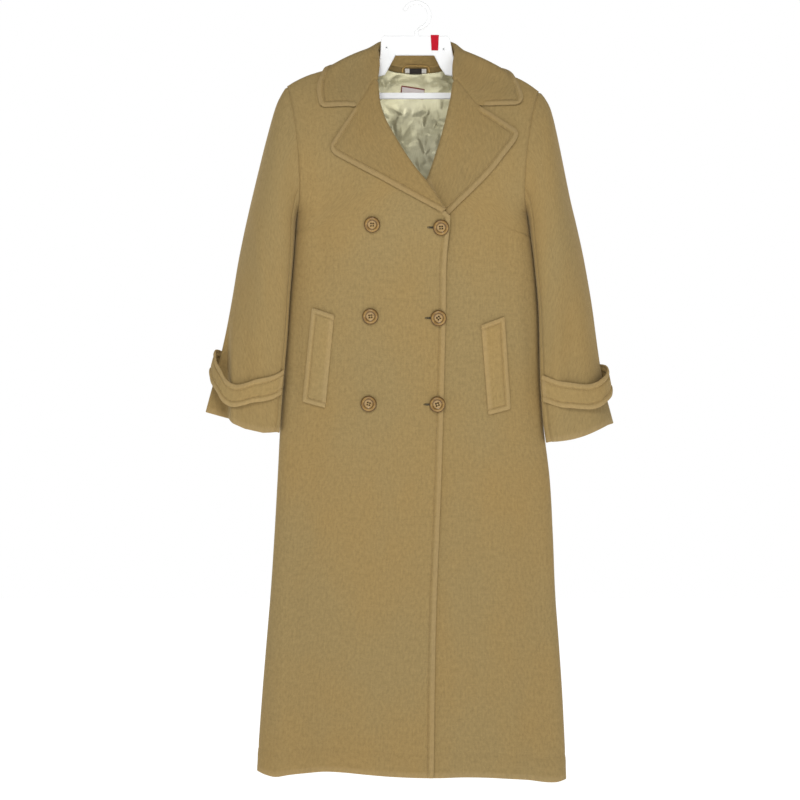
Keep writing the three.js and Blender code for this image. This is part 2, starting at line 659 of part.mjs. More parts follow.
// ---------------------------------------------------------------- collar
// From the right gorge (0) round the back of the neck (0.5) to the left gorge (1): the crest of the roll,
// the way its crown points, how far the cloth turns over it in degrees, and the outer edge.
const collarLine = table(['a', 'x', 'y', 'z', 'crownX', 'crownZ', 'turn', 'edgeX', 'edgeY', 'edgeZ', 'sag'], [
  [0, -65.5, -35, -130.6, 1, 0, 90, -162, -40, -177, 1],
  [0.05, -64.5, -28, -116, 1, 0.1, 88, -166.5, -34, -158, 0.5],
  [0.11, -63, -19, -98, 0.95, 0.3, 80, -167, -27, -138, 0.15],
  [0.17, -65, -9, -81, 0.7, 0.7, 55, -162, -17, -120, 0],
  [0.23, -66.5, 3, -69, 0.3, 0.95, 45, -154, 0, -107.5, 0],
  [0.3, -61, 20, -62, 0.1, 1, 46, -140, 27, -108, 0],
  [0.39, -41, 36, -57.5, 0, 1, 66, -94, 54, -130, 0],
  [0.5, 0, 43, -55, 0, 1, 76, 0, 66, -146, 0],
  [0.61, 41, 36, -58, 0, 1, 66, 96, 54, -131, 0],
  [0.7, 61, 20, -63.5, -0.1, 1, 50, 146, 27, -111, 0],
  [0.77, 66, 3, -71, -0.3, 0.95, 58, 161, 0, -115, 0],
  [0.83, 64.5, -9, -83, -0.7, 0.7, 60, 169, -17, -128, 0],
  [0.89, 62, -19, -99, -0.95, 0.3, 80, 175, -27, -144, 0.15],
  [0.95, 61.3, -28, -116, -1, 0.1, 88, 179, -34, -162, 0.5],
  [1, 61.5, -35, -130.6, -1, 0, 90, 173, -40, -172.5, 1],
]);
const COLLAR_RETURN = 6; // how far the cloth runs down inside the back of the neck

function collarFrame(a) {
  const at = collarLine(a);
  const before = collarLine(Math.max(0, a - 0.004));
  const after = collarLine(Math.min(1, a + 0.004));
  const crest = vec(at.x, at.y, at.z);
  const crown = vec(at.crownX, 0, at.crownZ).normalize();
  const along = vec(after.x - before.x, after.y - before.y, after.z - before.z);
  crown.addScaledVector(along, -crown.dot(along) / along.lengthSq()).normalize();
  const out = crown.clone().cross(along).normalize();
  return { at, crown, out, middle: crest.addScaledVector(crown, -ROLL_RADIUS) };
}

function collarPoint(b, a) {
  const side = a < 0.5 ? 'right' : 'left';
  const inward = a < 0.5 ? -1 : 1;
  const { at, crown, out, middle } = collarFrame(a);
  const front = Math.min(a, 1 - a);
  const free = smooth(front, 0.07, 0.19);
  const edge = vec(at.edgeX, at.edgeY, at.edgeZ);
  const tip = collarLine(a < 0.5 ? 0 : 1);
  const { peak, sag } = notchOf(side, tip.x, tip.z, inward, { x: tip.edgeX, z: tip.edgeZ });
  const run = lerp(lerp(ROLL_RETURN, 2, smooth(front, 0, 0.08)), COLLAR_RETURN, smooth(front, 0.15, 0.25));
  const laid = free < 1
    ? rolledOnBody(side, b, { x: at.x, z: at.z, inX: inward, inZ: 0, run }, edge, sag * at.sag, peak)
    : middle.clone();
  let hung;
  const turn = THREE.MathUtils.degToRad(b < 0 ? b * 90 : b * at.turn);
  const onRoll = (angle) => middle.clone().addScaledVector(out, ROLL_RADIUS * Math.sin(angle))
    .addScaledVector(crown, ROLL_RADIUS * Math.cos(angle));
  if (b < -1) {
    hung = onRoll(-Math.PI / 2).addScaledVector(crown, run * (b + 1));
  } else if (b < 1) hung = onRoll(turn);
  else {
    const end = THREE.MathUtils.degToRad(at.turn);
    const start = onRoll(end);
    const heading = out.clone().multiplyScalar(Math.cos(end)).addScaledVector(crown, -Math.sin(end));
    const lean = start.clone().addScaledVector(heading, start.distanceTo(edge) * 0.4);
    hung = new THREE.QuadraticBezierCurve3(start, lean, edge).getPoint(b - 1);
  }
  const p = laid.lerp(hung, free);
  return b > 1 && free > 0 ? pushOut(side, p, ON_PANEL) : p;
}

function makeCollar() {
  const gorge = (normal, b, a) => squareToGorge(a < 0.5 ? 'right' : 'left')(normal, b);
  const seams = {
    u0: { square: facingNeck },
    v0: { back: SEAM * 0.6, square: gorge },
    v1: { back: SEAM * 0.6, square: gorge },
  };
  const across = [...AROUND_ROLL, ...[0.16, 0.33, 0.5, 0.67, 0.84, 0.96, 1].map((f) => 1 + f)];
  const stations = [0, 0.025, 0.05, 0.08, 0.11, 0.14, 0.17, 0.2, 0.23, 0.265, 0.3, 0.345, 0.39, 0.445];
  const along = [...stations, 0.5, ...stations.map((a) => 1 - a).reverse()];
  add('collar', wall(collarPoint, across, along, { flip: true, seams }), camelWool);
}

// ---------------------------------------------------------------- collar stand
// Where collar and stand are joined, both rims face the neck.
const facingNeck = (normal, b, a) => (
  Math.min(a, 1 - a) < 0.15 ? normal : normal.copy(collarFrame(a).out).negate());
const STAND_FROM = 0.2; // where along the collar the stand starts and, from the other end, stops

function makeCollarStand() {
  const foot = (a) => {
    const share = (a - STAND_FROM) / (1 - 2 * STAND_FROM);
    const angle = lerp(-0.06, 1.06, share) * Math.PI;
    const x = lerp(0, NECK_RIGHT.x - 1.5, -Math.cos(angle));
    const z = neckSeamZ(x);
    if (angle < 0 || angle > Math.PI) return vec(x, Math.sin(angle) * 24, z + 1.8);
    return onBody('back', x, z).addScaledVector(bodyNormal('back', x, z), -1).add(vec(0, -1, 1.8));
  };
  const surface = (b, a) => {
    const top = collarPoint(-2, a).addScaledVector(collarFrame(a).crown, -SEAM * 4);
    return top.lerp(foot(a), b);
  };
  const along = steps(22, STAND_FROM, 1 - STAND_FROM);
  add('collar_stand', wall(surface, steps(3), along, { seams: { u0: { square: facingNeck } } }), camelWool);
}

// ---------------------------------------------------------------- back lining and labels
const LINING_FACE = CLOTH + 1.5 + SATIN; // face of the lining below the outer face of the back
const LINING_EASE = 11; // how much further in it hangs at the hem, clear of the back's folds
const LINING_TOP = 6; // how far below the neck seam the lining starts
const LINING_HEM = 32; // how far above the hem it stops

function makeLining() {
  const surface = (u, v) => {
    const on = backSurface(u, v);
    const top = backSurface(u, 2).z - LINING_TOP;
    const z = v > 1 ? Math.min(on.z, top) - 3 * smooth(v, 1.8, 2) : Math.max(on.z, HEM + LINING_HEM);
    const width = body(z);
    const kept = Math.min(width.right - 3, Math.max(width.left + 3, on.x));
    const p = onBody('back', kept, z);
    p.y -= foldDepth(BACK_FOLDS, kept, z) * sideShare(kept, z) + LINING_EASE * (1 - smooth(z, -900, -420));
    return p.addScaledVector(bodyNormal('back', kept, z), -LINING_FACE);
  };
  const across = [0.1, 0.18, 0.26, 0.33, 0.39, 0.45, 0.5, 0.55, 0.61, 0.67, 0.74, 0.82, 0.9];
  const up = [0.024, 0.15, 0.3, 0.5, 0.7, 0.85, 1, 1.14, 1.28, 1.42, 1.56, 1.7, 1.8, 1.88, 1.94, 1.98];
  add('lining_back', wall(surface, across, up, { thickness: SATIN }), champagneSatin);
}

// A flat ribbon that lies inside the back: its four corners run round it from the upper left.
const ON_LINING = LINING_FACE + RIBBON + 0.6; // face of a label sewn on the lining, below the outer face of the back
function insideBack(name, corners, height, finish, columns) {
  const [a, b, c, d] = corners;
  const surface = (u, v) => {
    const x = lerp(lerp(d[0], c[0], u), lerp(a[0], b[0], u), v);
    const z = lerp(lerp(d[1], c[1], u), lerp(a[1], b[1], u), v);
    return onBody('back', x, z).addScaledVector(bodyNormal('back', x, z), -height);
  };
  add(name, wall(surface, steps(columns), steps(1), { thickness: RIBBON }), finish);
}

// ---------------------------------------------------------------- pocket welts
// Corners from the upper outer one: upper outer, upper inner, lower inner, lower outer.
const WELTS = {
  right: [[-176, -517], [-140, -529], [-155, -685], [-192, -675]],
  left: [[148, -532], [110, -546], [122, -697], [158, -687]],
};

function makeWelt(side) {
  const [a, b, c, d] = WELTS[side];
  const surface = (u, v) => {
    const x = lerp(lerp(d[0], c[0], u), lerp(a[0], b[0], u), v);
    const z = lerp(lerp(d[1], c[1], u), lerp(a[1], b[1], u), v);
    return onBody(side, x, z).addScaledVector(bodyNormal(side, x, z), SEATED + 0.2);
  };
  add(`welt_${side}`, wall(surface, steps(3), steps(6), { flip: side === 'left' }), camelWool);
}

// ---------------------------------------------------------------- cuff straps
const STRAP_WIDTH = 43;
const SLEEVE_RING = 66; // length of sleeve between one ring and the next, near the cuff
// Round the sleeve from the forearm seam, over the outer side, to the elbow seam: where the middle of each strap
// lies along its sleeve, and how far the outer faces stand off.
const strapLine = table(['angle', 'right', 'left', 'stand'], [
  [128, 8.64, 8.78, SEATED],
  [108, 8.78, 8.86, SEATED + 0.6],
  [88, 8.95, 9, SEATED + 2],
  [60, 9.2, 9.12, SEATED + 3],
  [40, 9.3, 9.17, 7],
  [20, 9.2, 9.13, 11],
  [0, 8.85, 9, 13.5],
  [-20, 8.52, 8.8, 13],
  [-45, 8.42, 8.66, 10],
  [-70, 8.5, 8.64, 5.5],
  [-90, 8.6, 8.68, SEATED + 1],
  [-113, 8.65, 8.7, SEATED],
]);

function makeStrap(side) {
  const surface = (u, v) => {
    const angle = lerp(127, -113, u);
    const { [side]: ring, stand } = strapLine(angle);
    const at = ring + (0.5 - v) * STRAP_WIDTH / SLEEVE_RING;
    return onSleeve(side, angle, at).addScaledVector(sleeveNormal(side, angle, at), stand);
  };
  add(`cuff_strap_${side}`, wall(surface, steps(20), steps(3), { flip: side === 'right' }), camelWool);
}

// ---------------------------------------------------------------- buttons
const BUTTON_RADIUS = 13.8;
const BUTTON_PROFILE = [ // from the middle of the back, round the rim, to the middle of the front
  [0, 0], [9, 0], [12.6, 1], [BUTTON_RADIUS, 2.3], [13.2, 3.7], [12, 4.3], [10.4, 3.6], [9.4, 2.9], [0, 2.7],
];
const BUTTONS = [
  ['button_1_outer', -75, -376],
  ['button_1_edge', 41, -381],
  ['button_2_outer', -78, -531],
  ['button_2_edge', 37, -534],
  ['button_3_outer', -81, -679],
  ['button_3_edge', 35, -680],
];
const BUTTON_SHANK = SEAM; // gap under the button, where its thread runs

function makeButton([name, x, z]) {
  const profile = BUTTON_PROFILE.map(([radius, height]) => new THREE.Vector2(radius, height));
  const disc = mergeVertices(new THREE.LatheGeometry(profile, 18).deleteAttribute('normal').deleteAttribute('uv'));
  const normal = bodyNormal('right', x, z);
  disc.applyQuaternion(new THREE.Quaternion().setFromUnitVectors(vec(0, 1, 0), normal));
  const at = onBody('right', x, z).addScaledVector(normal, BUTTON_SHANK);
  disc.translate(at.x, at.y, at.z);
  add(name, disc, hornButton);
}

// ---------------------------------------------------------------- hanging loop
// A closed round rod along a path.
function rod(path, radius, sides = 8) {
  const curve = new THREE.CatmullRomCurve3(path);
  const count = path.length * 3;
  const frames = curve.computeFrenetFrames(count, false);
  const positions = [];
  const index = [];
  for (let i = 0; i <= count; i += 1) {
    const middle = curve.getPointAt(i / count);
    for (let k = 0; k < sides; k += 1) {
      const angle = (k / sides) * Math.PI * 2;
      const p = middle.clone().addScaledVector(frames.normals[i], radius * Math.cos(angle))
        .addScaledVector(frames.binormals[i], radius * Math.sin(angle));
      positions.push(p.x, p.y, p.z);
      if (i < count) {
        const [a, b] = [i * sides + k, i * sides + ((k + 1) % sides)];
        index.push(a, b, b + sides, a, b + sides, a + sides);
      }
    }
  }
  for (let k = 1; k < sides - 1; k += 1) {
    index.push(0, k + 1, k, count * sides, count * sides + k, count * sides + k + 1);
  }
  const geometry = new THREE.BufferGeometry();
  geometry.setAttribute('position', new THREE.Float32BufferAttribute(positions, 3));
  geometry.setIndex(index);
  return geometry;
}

const CORD_RADIUS = 1.6;
function makeLoop() {
  const path = [[-24, -114], [-23.5, -108.5], [-19, -103.5], [-8, -102.6], [8, -102.8], [18.5, -104], [21.6, -109],
    [22, -114.5]];
  const clear = LINING_FACE + CORD_RADIUS + 0.1;
  add('hang_loop', rod(path.map(([x, z]) => onBody('back', x, z).add(vec(0, -clear, 0))), CORD_RADIUS), satinCord);
}

// ---------------------------------------------------------------- hanger
const HANGER_DEPTH = 8;
const HOOK = { radius: 19, width: 6.5 }; // inside radius, and width of its bar
const PLATE_TOP = -53.5;
const UNDER_RIDGE = { right: 5.9, left: 6.3 }; // the arms' tops lie this far below the shoulder ridge

function makeHanger() {
  const armTop = (x) => ridge(x).z - (x < 0 ? UNDER_RIDGE.right : UNDER_RIDGE.left);
  const shape = new THREE.Shape();
  const middle = -HOOK.radius;
  const outer = HOOK.radius + HOOK.width;
  // The hook: up the stem, round over the crown and down to its tip, then back along the inside.
  shape.moveTo(HOOK.width / 2, PLATE_TOP);
  shape.lineTo(HOOK.width / 2, middle - outer + 1);
  const arc = (radius, from, to, count) => steps(count, from, to).forEach((angle) => {
    shape.lineTo(radius * Math.cos(angle), middle + radius * Math.sin(angle));
  });
  arc(outer, -1.38, 2.75, 20);
  arc(HOOK.radius, 2.75, -1.25, 18);
  shape.lineTo(-HOOK.width / 2, middle - outer - 1);
  shape.lineTo(-HOOK.width / 2, PLATE_TOP);
  // The plate and, on each side, its leg, the arm, the arm's end and the underside back to the bar.
  const rightSide = [[-55, PLATE_TOP], [-59, -56], [-60.5, -66], [-61.5, -84], [-63, armTop(-63) - 9]];
  for (const [x, z] of rightSide) shape.lineTo(x, z);
  for (const x of [-76, -95, -120, -145, -170, -192]) shape.lineTo(x, armTop(x) - (x > -80 ? 3 : 0));
  shape.lineTo(-203, armTop(-203) - 3);
  shape.lineTo(-206, armTop(-203) - 11);
  shape.lineTo(-200, -161);
  shape.lineTo(198, -161);
  shape.lineTo(199, armTop(194) - 8);
  for (const x of [194, 184, 165, 140, 118, 95, 78]) shape.lineTo(x, armTop(x) - (x < 80 ? 3 : 0));
  for (const [x, z] of [[65, armTop(65) - 9], [61.5, -84], [58, -66], [56, -56], [52, PLATE_TOP]]) shape.lineTo(x, z);
  shape.closePath();
  const hole = (points) => {
    const path = new THREE.Path();
    points.forEach(([x, z], i) => (i ? path.lineTo(x, z) : path.moveTo(x, z)));
    path.closePath();
    shape.holes.push(path);
  };
  // The window under the plate, between the legs and over the bar, and the slot between each arm and the bar.
  hole([[-36, -87], [30, -87], [40, -107], [49, -120], [70, -124], [84, -118], [120, -131], [150, -142], [168, -150.2],
    [-168, -150.2], [-150, -137], [-120, -126], [-84, -115], [-70, -124], [-54, -120], [-47, -108]]);
  const bevel = { bevelThickness: 1.2, bevelSize: 1.2, bevelOffset: -1.2, bevelSegments: 1 };
  const solid = new THREE.ExtrudeGeometry(shape, { depth: HANGER_DEPTH - 2.4, curveSegments: 1, ...bevel });
  solid.translate(0, 0, -(HANGER_DEPTH - 2.4) / 2);
  solid.rotateX(Math.PI / 2);
  add('hanger', solid, whitePlastic);
}

// The plain size band clips over the top of the plate.
function makeMarker() {
  const half = HANGER_DEPTH / 2;
  const [top, bottom, gap, skin] = [PLATE_TOP + 1.5, -78.5, 0.3, 1];
  const section = new THREE.Shape([
    [-half - gap - skin, bottom], [-half - gap, bottom], [-half - gap, PLATE_TOP + gap], [half + gap, PLATE_TOP + gap],
    [half + gap, bottom], [half + gap + skin, bottom], [half + gap + skin, top], [-half - gap - skin, top],
  ].map(([y, z]) => new THREE.Vector2(y, z)));
  const clip = new THREE.ExtrudeGeometry(section, { depth: 14, bevelEnabled: false });
  const matrix = new THREE.Matrix4().makeBasis(vec(0, 1, 0), vec(0, 0, 1), vec(1, 0, 0));
  clip.applyMatrix4(matrix);
  const points = clip.getAttribute('position');
  for (let i = 0; i < points.count; i += 1) {
    const taper = 1 - 0.2 * (top - points.getZ(i)) / (top - bottom);
    points.setX(i, 31 + (points.getX(i) - 7) * taper);
  }
  add('hanger_marker', clip, redPlastic);
}

makeHanger();
makeMarker();
makeBack();
makeFront('right', 11);
makeFront('left', 11);
makeSleeve('right');
makeSleeve('left');
makeLapel('right');
makeLapel('left');
makeCollar();
makeCollarStand();
makeLining();
insideBack('neck_label', [[-26, -134.5], [14, -140.5], [11.5, -158], [-28, -152]], ON_LINING, ribbonWhite, 3);
insideBack('size_label', [[-20, -105.2], [17, -105.6], [17, -112.8], [-20, -112.4]], ON_LINING + 0.8, ribbonWhite, 2);
insideBack('size_tab', [[-12, -104.8], [9, -104.8], [9, -113.6], [-12, -113.6]], ON_LINING + 2, ribbonBlack, 1);
makeLoop();
makeWelt('right');
makeWelt('left');
makeStrap('right');
makeStrap('left');
BUTTONS.forEach(makeButton);

export default coat;
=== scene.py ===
"""A long double-breasted wool coat that hangs empty on a moulded hanger.

Lengths are in metres in the frame's own axes: +Z up, the front faces -Y, and the origin is the crown of the
hook. Small sizes are in millimetres and are multiplied by MM where they are used. Right and left are the
wearer's, so the right front is at -X and laps over the left one.
"""
import math
import random

import bmesh
import bpy
import numpy as np
from mathutils import Matrix, Vector
from mathutils.geometry import delaunay_2d_cdt


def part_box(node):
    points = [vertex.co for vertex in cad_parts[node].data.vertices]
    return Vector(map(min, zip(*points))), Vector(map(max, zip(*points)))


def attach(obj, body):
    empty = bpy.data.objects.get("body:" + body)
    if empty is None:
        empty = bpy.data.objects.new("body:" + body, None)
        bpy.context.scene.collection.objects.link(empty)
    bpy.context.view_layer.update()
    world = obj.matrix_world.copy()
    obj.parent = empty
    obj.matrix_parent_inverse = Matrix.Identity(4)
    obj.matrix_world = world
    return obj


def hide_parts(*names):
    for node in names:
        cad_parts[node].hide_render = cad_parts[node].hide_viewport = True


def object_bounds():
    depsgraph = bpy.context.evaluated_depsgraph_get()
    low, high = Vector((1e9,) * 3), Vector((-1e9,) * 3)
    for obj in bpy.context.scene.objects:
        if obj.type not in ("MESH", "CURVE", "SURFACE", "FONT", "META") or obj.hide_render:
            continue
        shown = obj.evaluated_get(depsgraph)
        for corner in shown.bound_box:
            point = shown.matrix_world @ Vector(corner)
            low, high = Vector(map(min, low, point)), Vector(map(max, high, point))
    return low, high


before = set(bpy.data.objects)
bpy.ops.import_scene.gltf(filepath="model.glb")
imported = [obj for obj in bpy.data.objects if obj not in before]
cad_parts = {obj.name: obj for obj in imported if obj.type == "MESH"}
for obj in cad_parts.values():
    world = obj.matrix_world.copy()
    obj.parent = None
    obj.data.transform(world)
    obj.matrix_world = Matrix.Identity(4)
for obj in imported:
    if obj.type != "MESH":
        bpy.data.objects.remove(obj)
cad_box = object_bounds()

# ---------------------------------------------------------------- back
# One plain panel of brushed camel coating, a dense wool cloth 3 mm thick with a short nap over its weave.
# It runs from side seam to side seam and from the neck and shoulders to the turned-up hem, in soft folds.
MM = 0.001
WOOL_WALL = 3 * MM
RIGHT, LEFT, FRONT, REAR = (-1, 0, 0), (1, 0, 0), (0, -1, 0), (0, 1, 0)
UP, DOWN = (0, 0, 1), (0, 0, -1)


def cut_piece(node, faces, rows_from, columns_from, rows, wall=WOOL_WALL):
    """The grid of points on one face of a cut piece in the frame, and 1 or -1 for the way that it turns.

    faces is the way that the wanted face looks, and the grid's first row and first column lie furthest towards
    rows_from and columns_from. The edges that join the two faces of the cloth are exactly as long as the cloth
    is thick, so without the narrow faces beside them the two faces come apart.
    """
    mesh = bmesh.new()
    mesh.from_mesh(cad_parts[node].data)
    bmesh.ops.remove_doubles(mesh, verts=mesh.verts, dist=1e-6)
    rims = {edge for edge in mesh.edges if abs(edge.calc_length() - wall) < 3e-7}
    kept = {face for face in mesh.faces if not rims.intersection(face.edges)}
    sides = []
    while kept:
        side, waiting = set(), [kept.pop()]
        while waiting:
            face = waiting.pop()
            side.add(face)
            for edge in face.edges:
                for other in edge.link_faces:
                    if other in kept:
                        kept.remove(other)
                        waiting.append(other)
        sides.append(side)
    direction = Vector(faces)

    def looks_out(some):
        return sum(face.normal.dot(direction) * face.calc_area() for face in some)

    side = max(sides, key=looks_out)
    near = {}
    for face in side:
        for edge in face.edges:
            for a, b in (edge.verts, reversed(edge.verts)):
                near.setdefault(a, set()).add(b)
    border = {edge for face in side for edge in face.edges
              if sum(other in side for other in edge.link_faces) == 1}
    # Along the border every point has four neighbours, except the corners, which have two or three.
    corners = [point for point in near if len(near[point]) < 4]
    runs = []
    for corner in corners:
        for start in [edge for edge in corner.link_edges if edge in border]:
            run, last = [corner], start
            while True:
                run.append(last.other_vert(run[-1]))
                if run[-1] in corners:
                    break
                last = next(edge for edge in run[-1].link_edges if edge in border and edge is not last)
            if not any(set(run) == set(other) for other in runs):
                runs.append(run)

    def furthest(some, way):
        return max(some, key=lambda run: sum((point.co for point in run), Vector()).dot(way) / len(run))

    def steps_from(run):
        reached, step, ring = {point: 0 for point in run}, 0, set(run)
        while ring:
            step += 1
            ring = {other for point in ring for other in near[point]} - reached.keys()
            reached.update({point: step for point in ring})
        return reached

    first_row = furthest(runs, Vector(rows_from))
    beside = [run for run in runs if len(set(run) & set(first_row)) == 1]
    row_of, column_of = steps_from(first_row), steps_from(furthest(beside, Vector(columns_from)))
    columns = len(near) // rows
    grid = np.zeros((rows, columns, 3))
    for point in near:
        grid[row_of[point], column_of[point]] = point.co
    across, along = grid[:-1, 1:] - grid[:-1, :-1], grid[1:, :-1] - grid[:-1, :-1]
    turn = 1 if (np.cross(across, along) @ np.array(faces)).sum() * looks_out(side) > 0 else -1
    mesh.free()
    return grid, turn


def spline_weights(knots, at):
    """For each place along the knots, the four nearest of them and how much a smooth curve takes from each."""
    last = len(knots) - 1
    cell = np.clip(np.searchsorted(knots, at, side="right") - 1, 0, last - 1)
    before, after = np.maximum(cell - 1, 0), np.minimum(cell + 2, last)
    width = knots[cell + 1] - knots[cell]
    t = (at - knots[cell]) / width
    slope_in, slope_out = width / (knots[cell + 1] - knots[before]), width / (knots[after] - knots[cell])
    bend_in, bend_out = t**3 - 2 * t**2 + t, t**3 - t**2
    rise = 3 * t**2 - 2 * t**3
    weights = np.stack([-bend_in * slope_in, 1 - rise - bend_out * slope_out, rise + bend_in * slope_in,
                        bend_out * slope_out])
    return np.stack([before, cell, cell + 1, after]), weights


def on_piece(grid, knots, u, v):
    """Points on the smooth surface through a piece's grid, at places u across and v along it."""
    columns, across = spline_weights(knots[0], u)
    rows, along = spline_weights(knots[1], v)
    points = np.zeros(u.shape + (3,))
    for a in range(4):
        for b in range(4):
            points += (along[a] * across[b])[..., None] * grid[rows[a], columns[b]]
    return points


def run_along(points, axis):
    """How far each point of a grid lies along its row or column, from the first edge."""
    steps = np.linalg.norm(np.diff(points, axis=axis), axis=2)
    start = np.zeros_like(np.take(steps, [0], axis=axis))
    return np.concatenate([start, np.cumsum(steps, axis=axis)], axis=axis)


def stations(count, start=(0,), end=(0,)):
    """Places across a piece, each a share of the piece's width and a distance to add.

    start and end are distances in millimetres from the two edges, and count is the number of steps between.
    """
    share = np.linspace(0, 1, count + 1)[1:-1]
    middle = start[-1] * (1 - share) - end[-1] * share
    shares = np.concatenate([np.zeros(len(start)), share, np.ones(len(end))])
    return shares, np.concatenate([start, middle, -np.array(end[::-1], float)]) * MM


def lay_out(grid, across, along):
    """Close-set points over a piece, at the stations across and along it."""
    knots = []
    for axis in (1, 0):
        steps = np.linalg.norm(np.diff(grid, axis=axis), axis=2).mean(axis=1 - axis)
        knots.append(np.concatenate([[0], np.cumsum(steps)]))
    fine = [np.concatenate([np.linspace(a, b, 6, endpoint=False) for a, b in zip(run, run[1:])] + [run[-1:]])
            for run in knots]
    lattice = on_piece(grid, knots, *np.meshgrid(*fine))
    over, up = run_along(lattice, 1), run_along(lattice, 0)
    u = np.tile(across[0] * knots[0][-1] + across[1], (len(along[0]), 1))
    v = np.zeros_like(u)
    for j, place in enumerate(u[0]):
        i = min(np.searchsorted(fine[0], place, side="right") - 1, len(fine[0]) - 2)
        t = (place - fine[0][i]) / (fine[0][i + 1] - fine[0][i])
        run = up[:, i] * (1 - t) + up[:, i + 1] * t
        v[:, j] = np.interp(along[0] * run[-1] + along[1], run, fine[1])
    for i, place in enumerate(v.mean(axis=1)):
        k = min(np.searchsorted(fine[1], place, side="right") - 1, len(fine[1]) - 2)
        t = (place - fine[1][k]) / (fine[1][k + 1] - fine[1][k])
        run = over[k] * (1 - t) + over[k + 1] * t
        u[i] = np.interp(across[0] * run[-1] + across[1], run, fine[0])
    return on_piece(grid, knots, u, v)


def normals_of(points, turn):
    """The normals of a grid of points, on the side that its turn says."""
    across, along = np.gradient(points, axis=1), np.gradient(points, axis=0)
    normals = np.cross(across, along) * turn
    return normals / np.linalg.norm(normals, axis=2, keepdims=True)


def from_edges(points):
    """Distances in millimetres from a grid's first and last columns, and from its first and last rows."""
    over, up = run_along(points, 1) / MM, run_along(points, 0) / MM
    return over, over[:, -1:] - over, up, up[-1:] - up


def bump(distance, width):
    """1 where the distance is 0, falling away smoothly over the width."""
    return np.exp(-((distance / width) ** 2))


def ramp(value, start, end):
    """0 up to the start, rising smoothly to 1 at the end."""
    t = np.clip((value - start) / (end - start), 0, 1)
    return t * t * (3 - 2 * t)


def net(name, vertices, faces):
    """A mesh with these corners and faces."""
    mesh = bpy.data.meshes.new(name)
    mesh.from_pydata(vertices, [], faces)
    return mesh


def add_piece(name, mesh, *finishes):
    """Puts a mesh in the scene as one smooth piece, which rides on the one body of coat and hanger."""
    mesh.polygons.foreach_set("use_smooth", np.ones(len(mesh.polygons), bool))
    for finish in finishes:
        mesh.materials.append(finish)
    piece = bpy.data.objects.new(name, mesh)
    bpy.context.scene.collection.objects.link(piece)
    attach(piece, "root")
    return piece


def sew_shell(name, points, turn, finish, wall=WOOL_WALL, free=(True, True, True, True), shift=(0, 0),
              only=(0, 0, 0, 0)):
    """A closed sheet of cloth, whose outer face has these points.

    free says, for the first and last columns and rows, whether the edge is rounded and free or ends in a seam.
    only is an extra distance for each, large along the part of a free edge that is sewn to something else.
    shift moves the finish along the cloth, in metres, so that no two pieces show the same stretch of it.
    """
    rows, columns = points.shape[:2]
    normals = normals_of(points, turn)
    loop = [(0, j) for j in range(columns)] + [(i, columns - 1) for i in range(1, rows)]
    loop += [(rows - 1, j) for j in range(columns - 2, -1, -1)] + [(i, 0) for i in range(rows - 2, 0, -1)]
    rim = tuple(np.array(loop).T)
    away = np.zeros_like(points)
    reach = np.zeros((rows, columns))
    edges = (np.s_[:, 0], np.s_[:, -1], np.s_[0, :], np.s_[-1, :])
    beside = (np.s_[:, 1], np.s_[:, -2], np.s_[1, :], np.s_[-2, :])
    for edge, inner, is_free in zip(edges, beside, free):
        out = points[edge] - points[inner]
        away[edge] += out / np.linalg.norm(out, axis=1, keepdims=True)
        reach[edge] = 0.4 if is_free else 0.02
    border, up, out = points[rim], normals[rim], away[rim]
    out -= up * (out * up).sum(axis=1, keepdims=True)
    out /= np.linalg.norm(out, axis=1, keepdims=True)
    rings = []
    for turned_by in (30, 65, 90, 115, 150):
        angle = math.radians(turned_by)
        bulge = math.sin(angle) * wall * reach[rim][:, None]
        rings.append(border - up * wall * (1 - math.cos(angle)) / 2 + out * bulge)
    under = points - normals * wall
    vertices = np.concatenate([points.reshape(-1, 3), under.reshape(-1, 3), *rings])
    index = np.arange(rows * columns).reshape(rows, columns)
    a, b, c, d = (q.ravel() for q in (index[:-1, :-1], index[:-1, 1:], index[1:, 1:], index[1:, :-1]))
    face, back = np.stack([a, b, c, d], 1), np.stack([a, d, c, b], 1) + index.size
    ring_starts = 2 * index.size + len(loop) * np.arange(len(rings))
    lines = [index[rim], *(start + np.arange(len(loop)) for start in ring_starts), index[rim] + index.size]
    rims = [np.stack([p, q, np.roll(q, -1), np.roll(p, -1)], 1) for p, q in zip(lines, lines[1:])]
    quads = np.concatenate([face, back, *rims])
    if turn < 0:
        quads = quads[:, ::-1]
    mesh = net(name, vertices, quads.tolist())

    def everywhere(values, width):
        return np.concatenate([values.reshape(-1, width)] * 2 + [values[rim].reshape(-1, width)] * len(rings))

    flat = np.stack([run_along(points, 1), run_along(points, 0)], 2) + np.array(shift)
    places = everywhere(flat, 2)[quads.ravel()].astype(np.float32)
    mesh.uv_layers.new(name="cloth").data.foreach_set("uv", places.ravel())
    # Near its free edges the cloth is painted paler: partly wear, partly a painted highlight on the rolled
    # edge.
    to_edge = np.minimum.reduce([np.where(is_free, far, 99) + more
                                 for is_free, far, more in zip(free, from_edges(points), only)])
    wear_and_highlight = everywhere(ramp(8.5 - to_edge, 0, 4), 1).astype(np.float32)
    mesh.attributes.new("wear_and_highlight", "FLOAT", "POINT").data.foreach_set("value", wear_and_highlight.ravel())
    return add_piece(name, mesh, finish)


def nodes_of(name):
    """A new material, its node tree, and its shader."""
    material = bpy.data.materials.new(name)
    material.use_nodes = True
    tree = material.node_tree
    return material, tree, tree.nodes["Principled BSDF"]


def add_node(tree, kind, inputs=(), **settings):
    """A node with these settings and inputs: an input is a number, a colour, or another node's output."""
    node = tree.nodes.new(kind)
    for name, value in settings.items():
        setattr(node, name, value)
    for name, value in dict(inputs).items():
        if isinstance(value, bpy.types.NodeSocket):
            tree.links.new(value, node.inputs[name])
        else:
            node.inputs[name].default_value = value
    return node


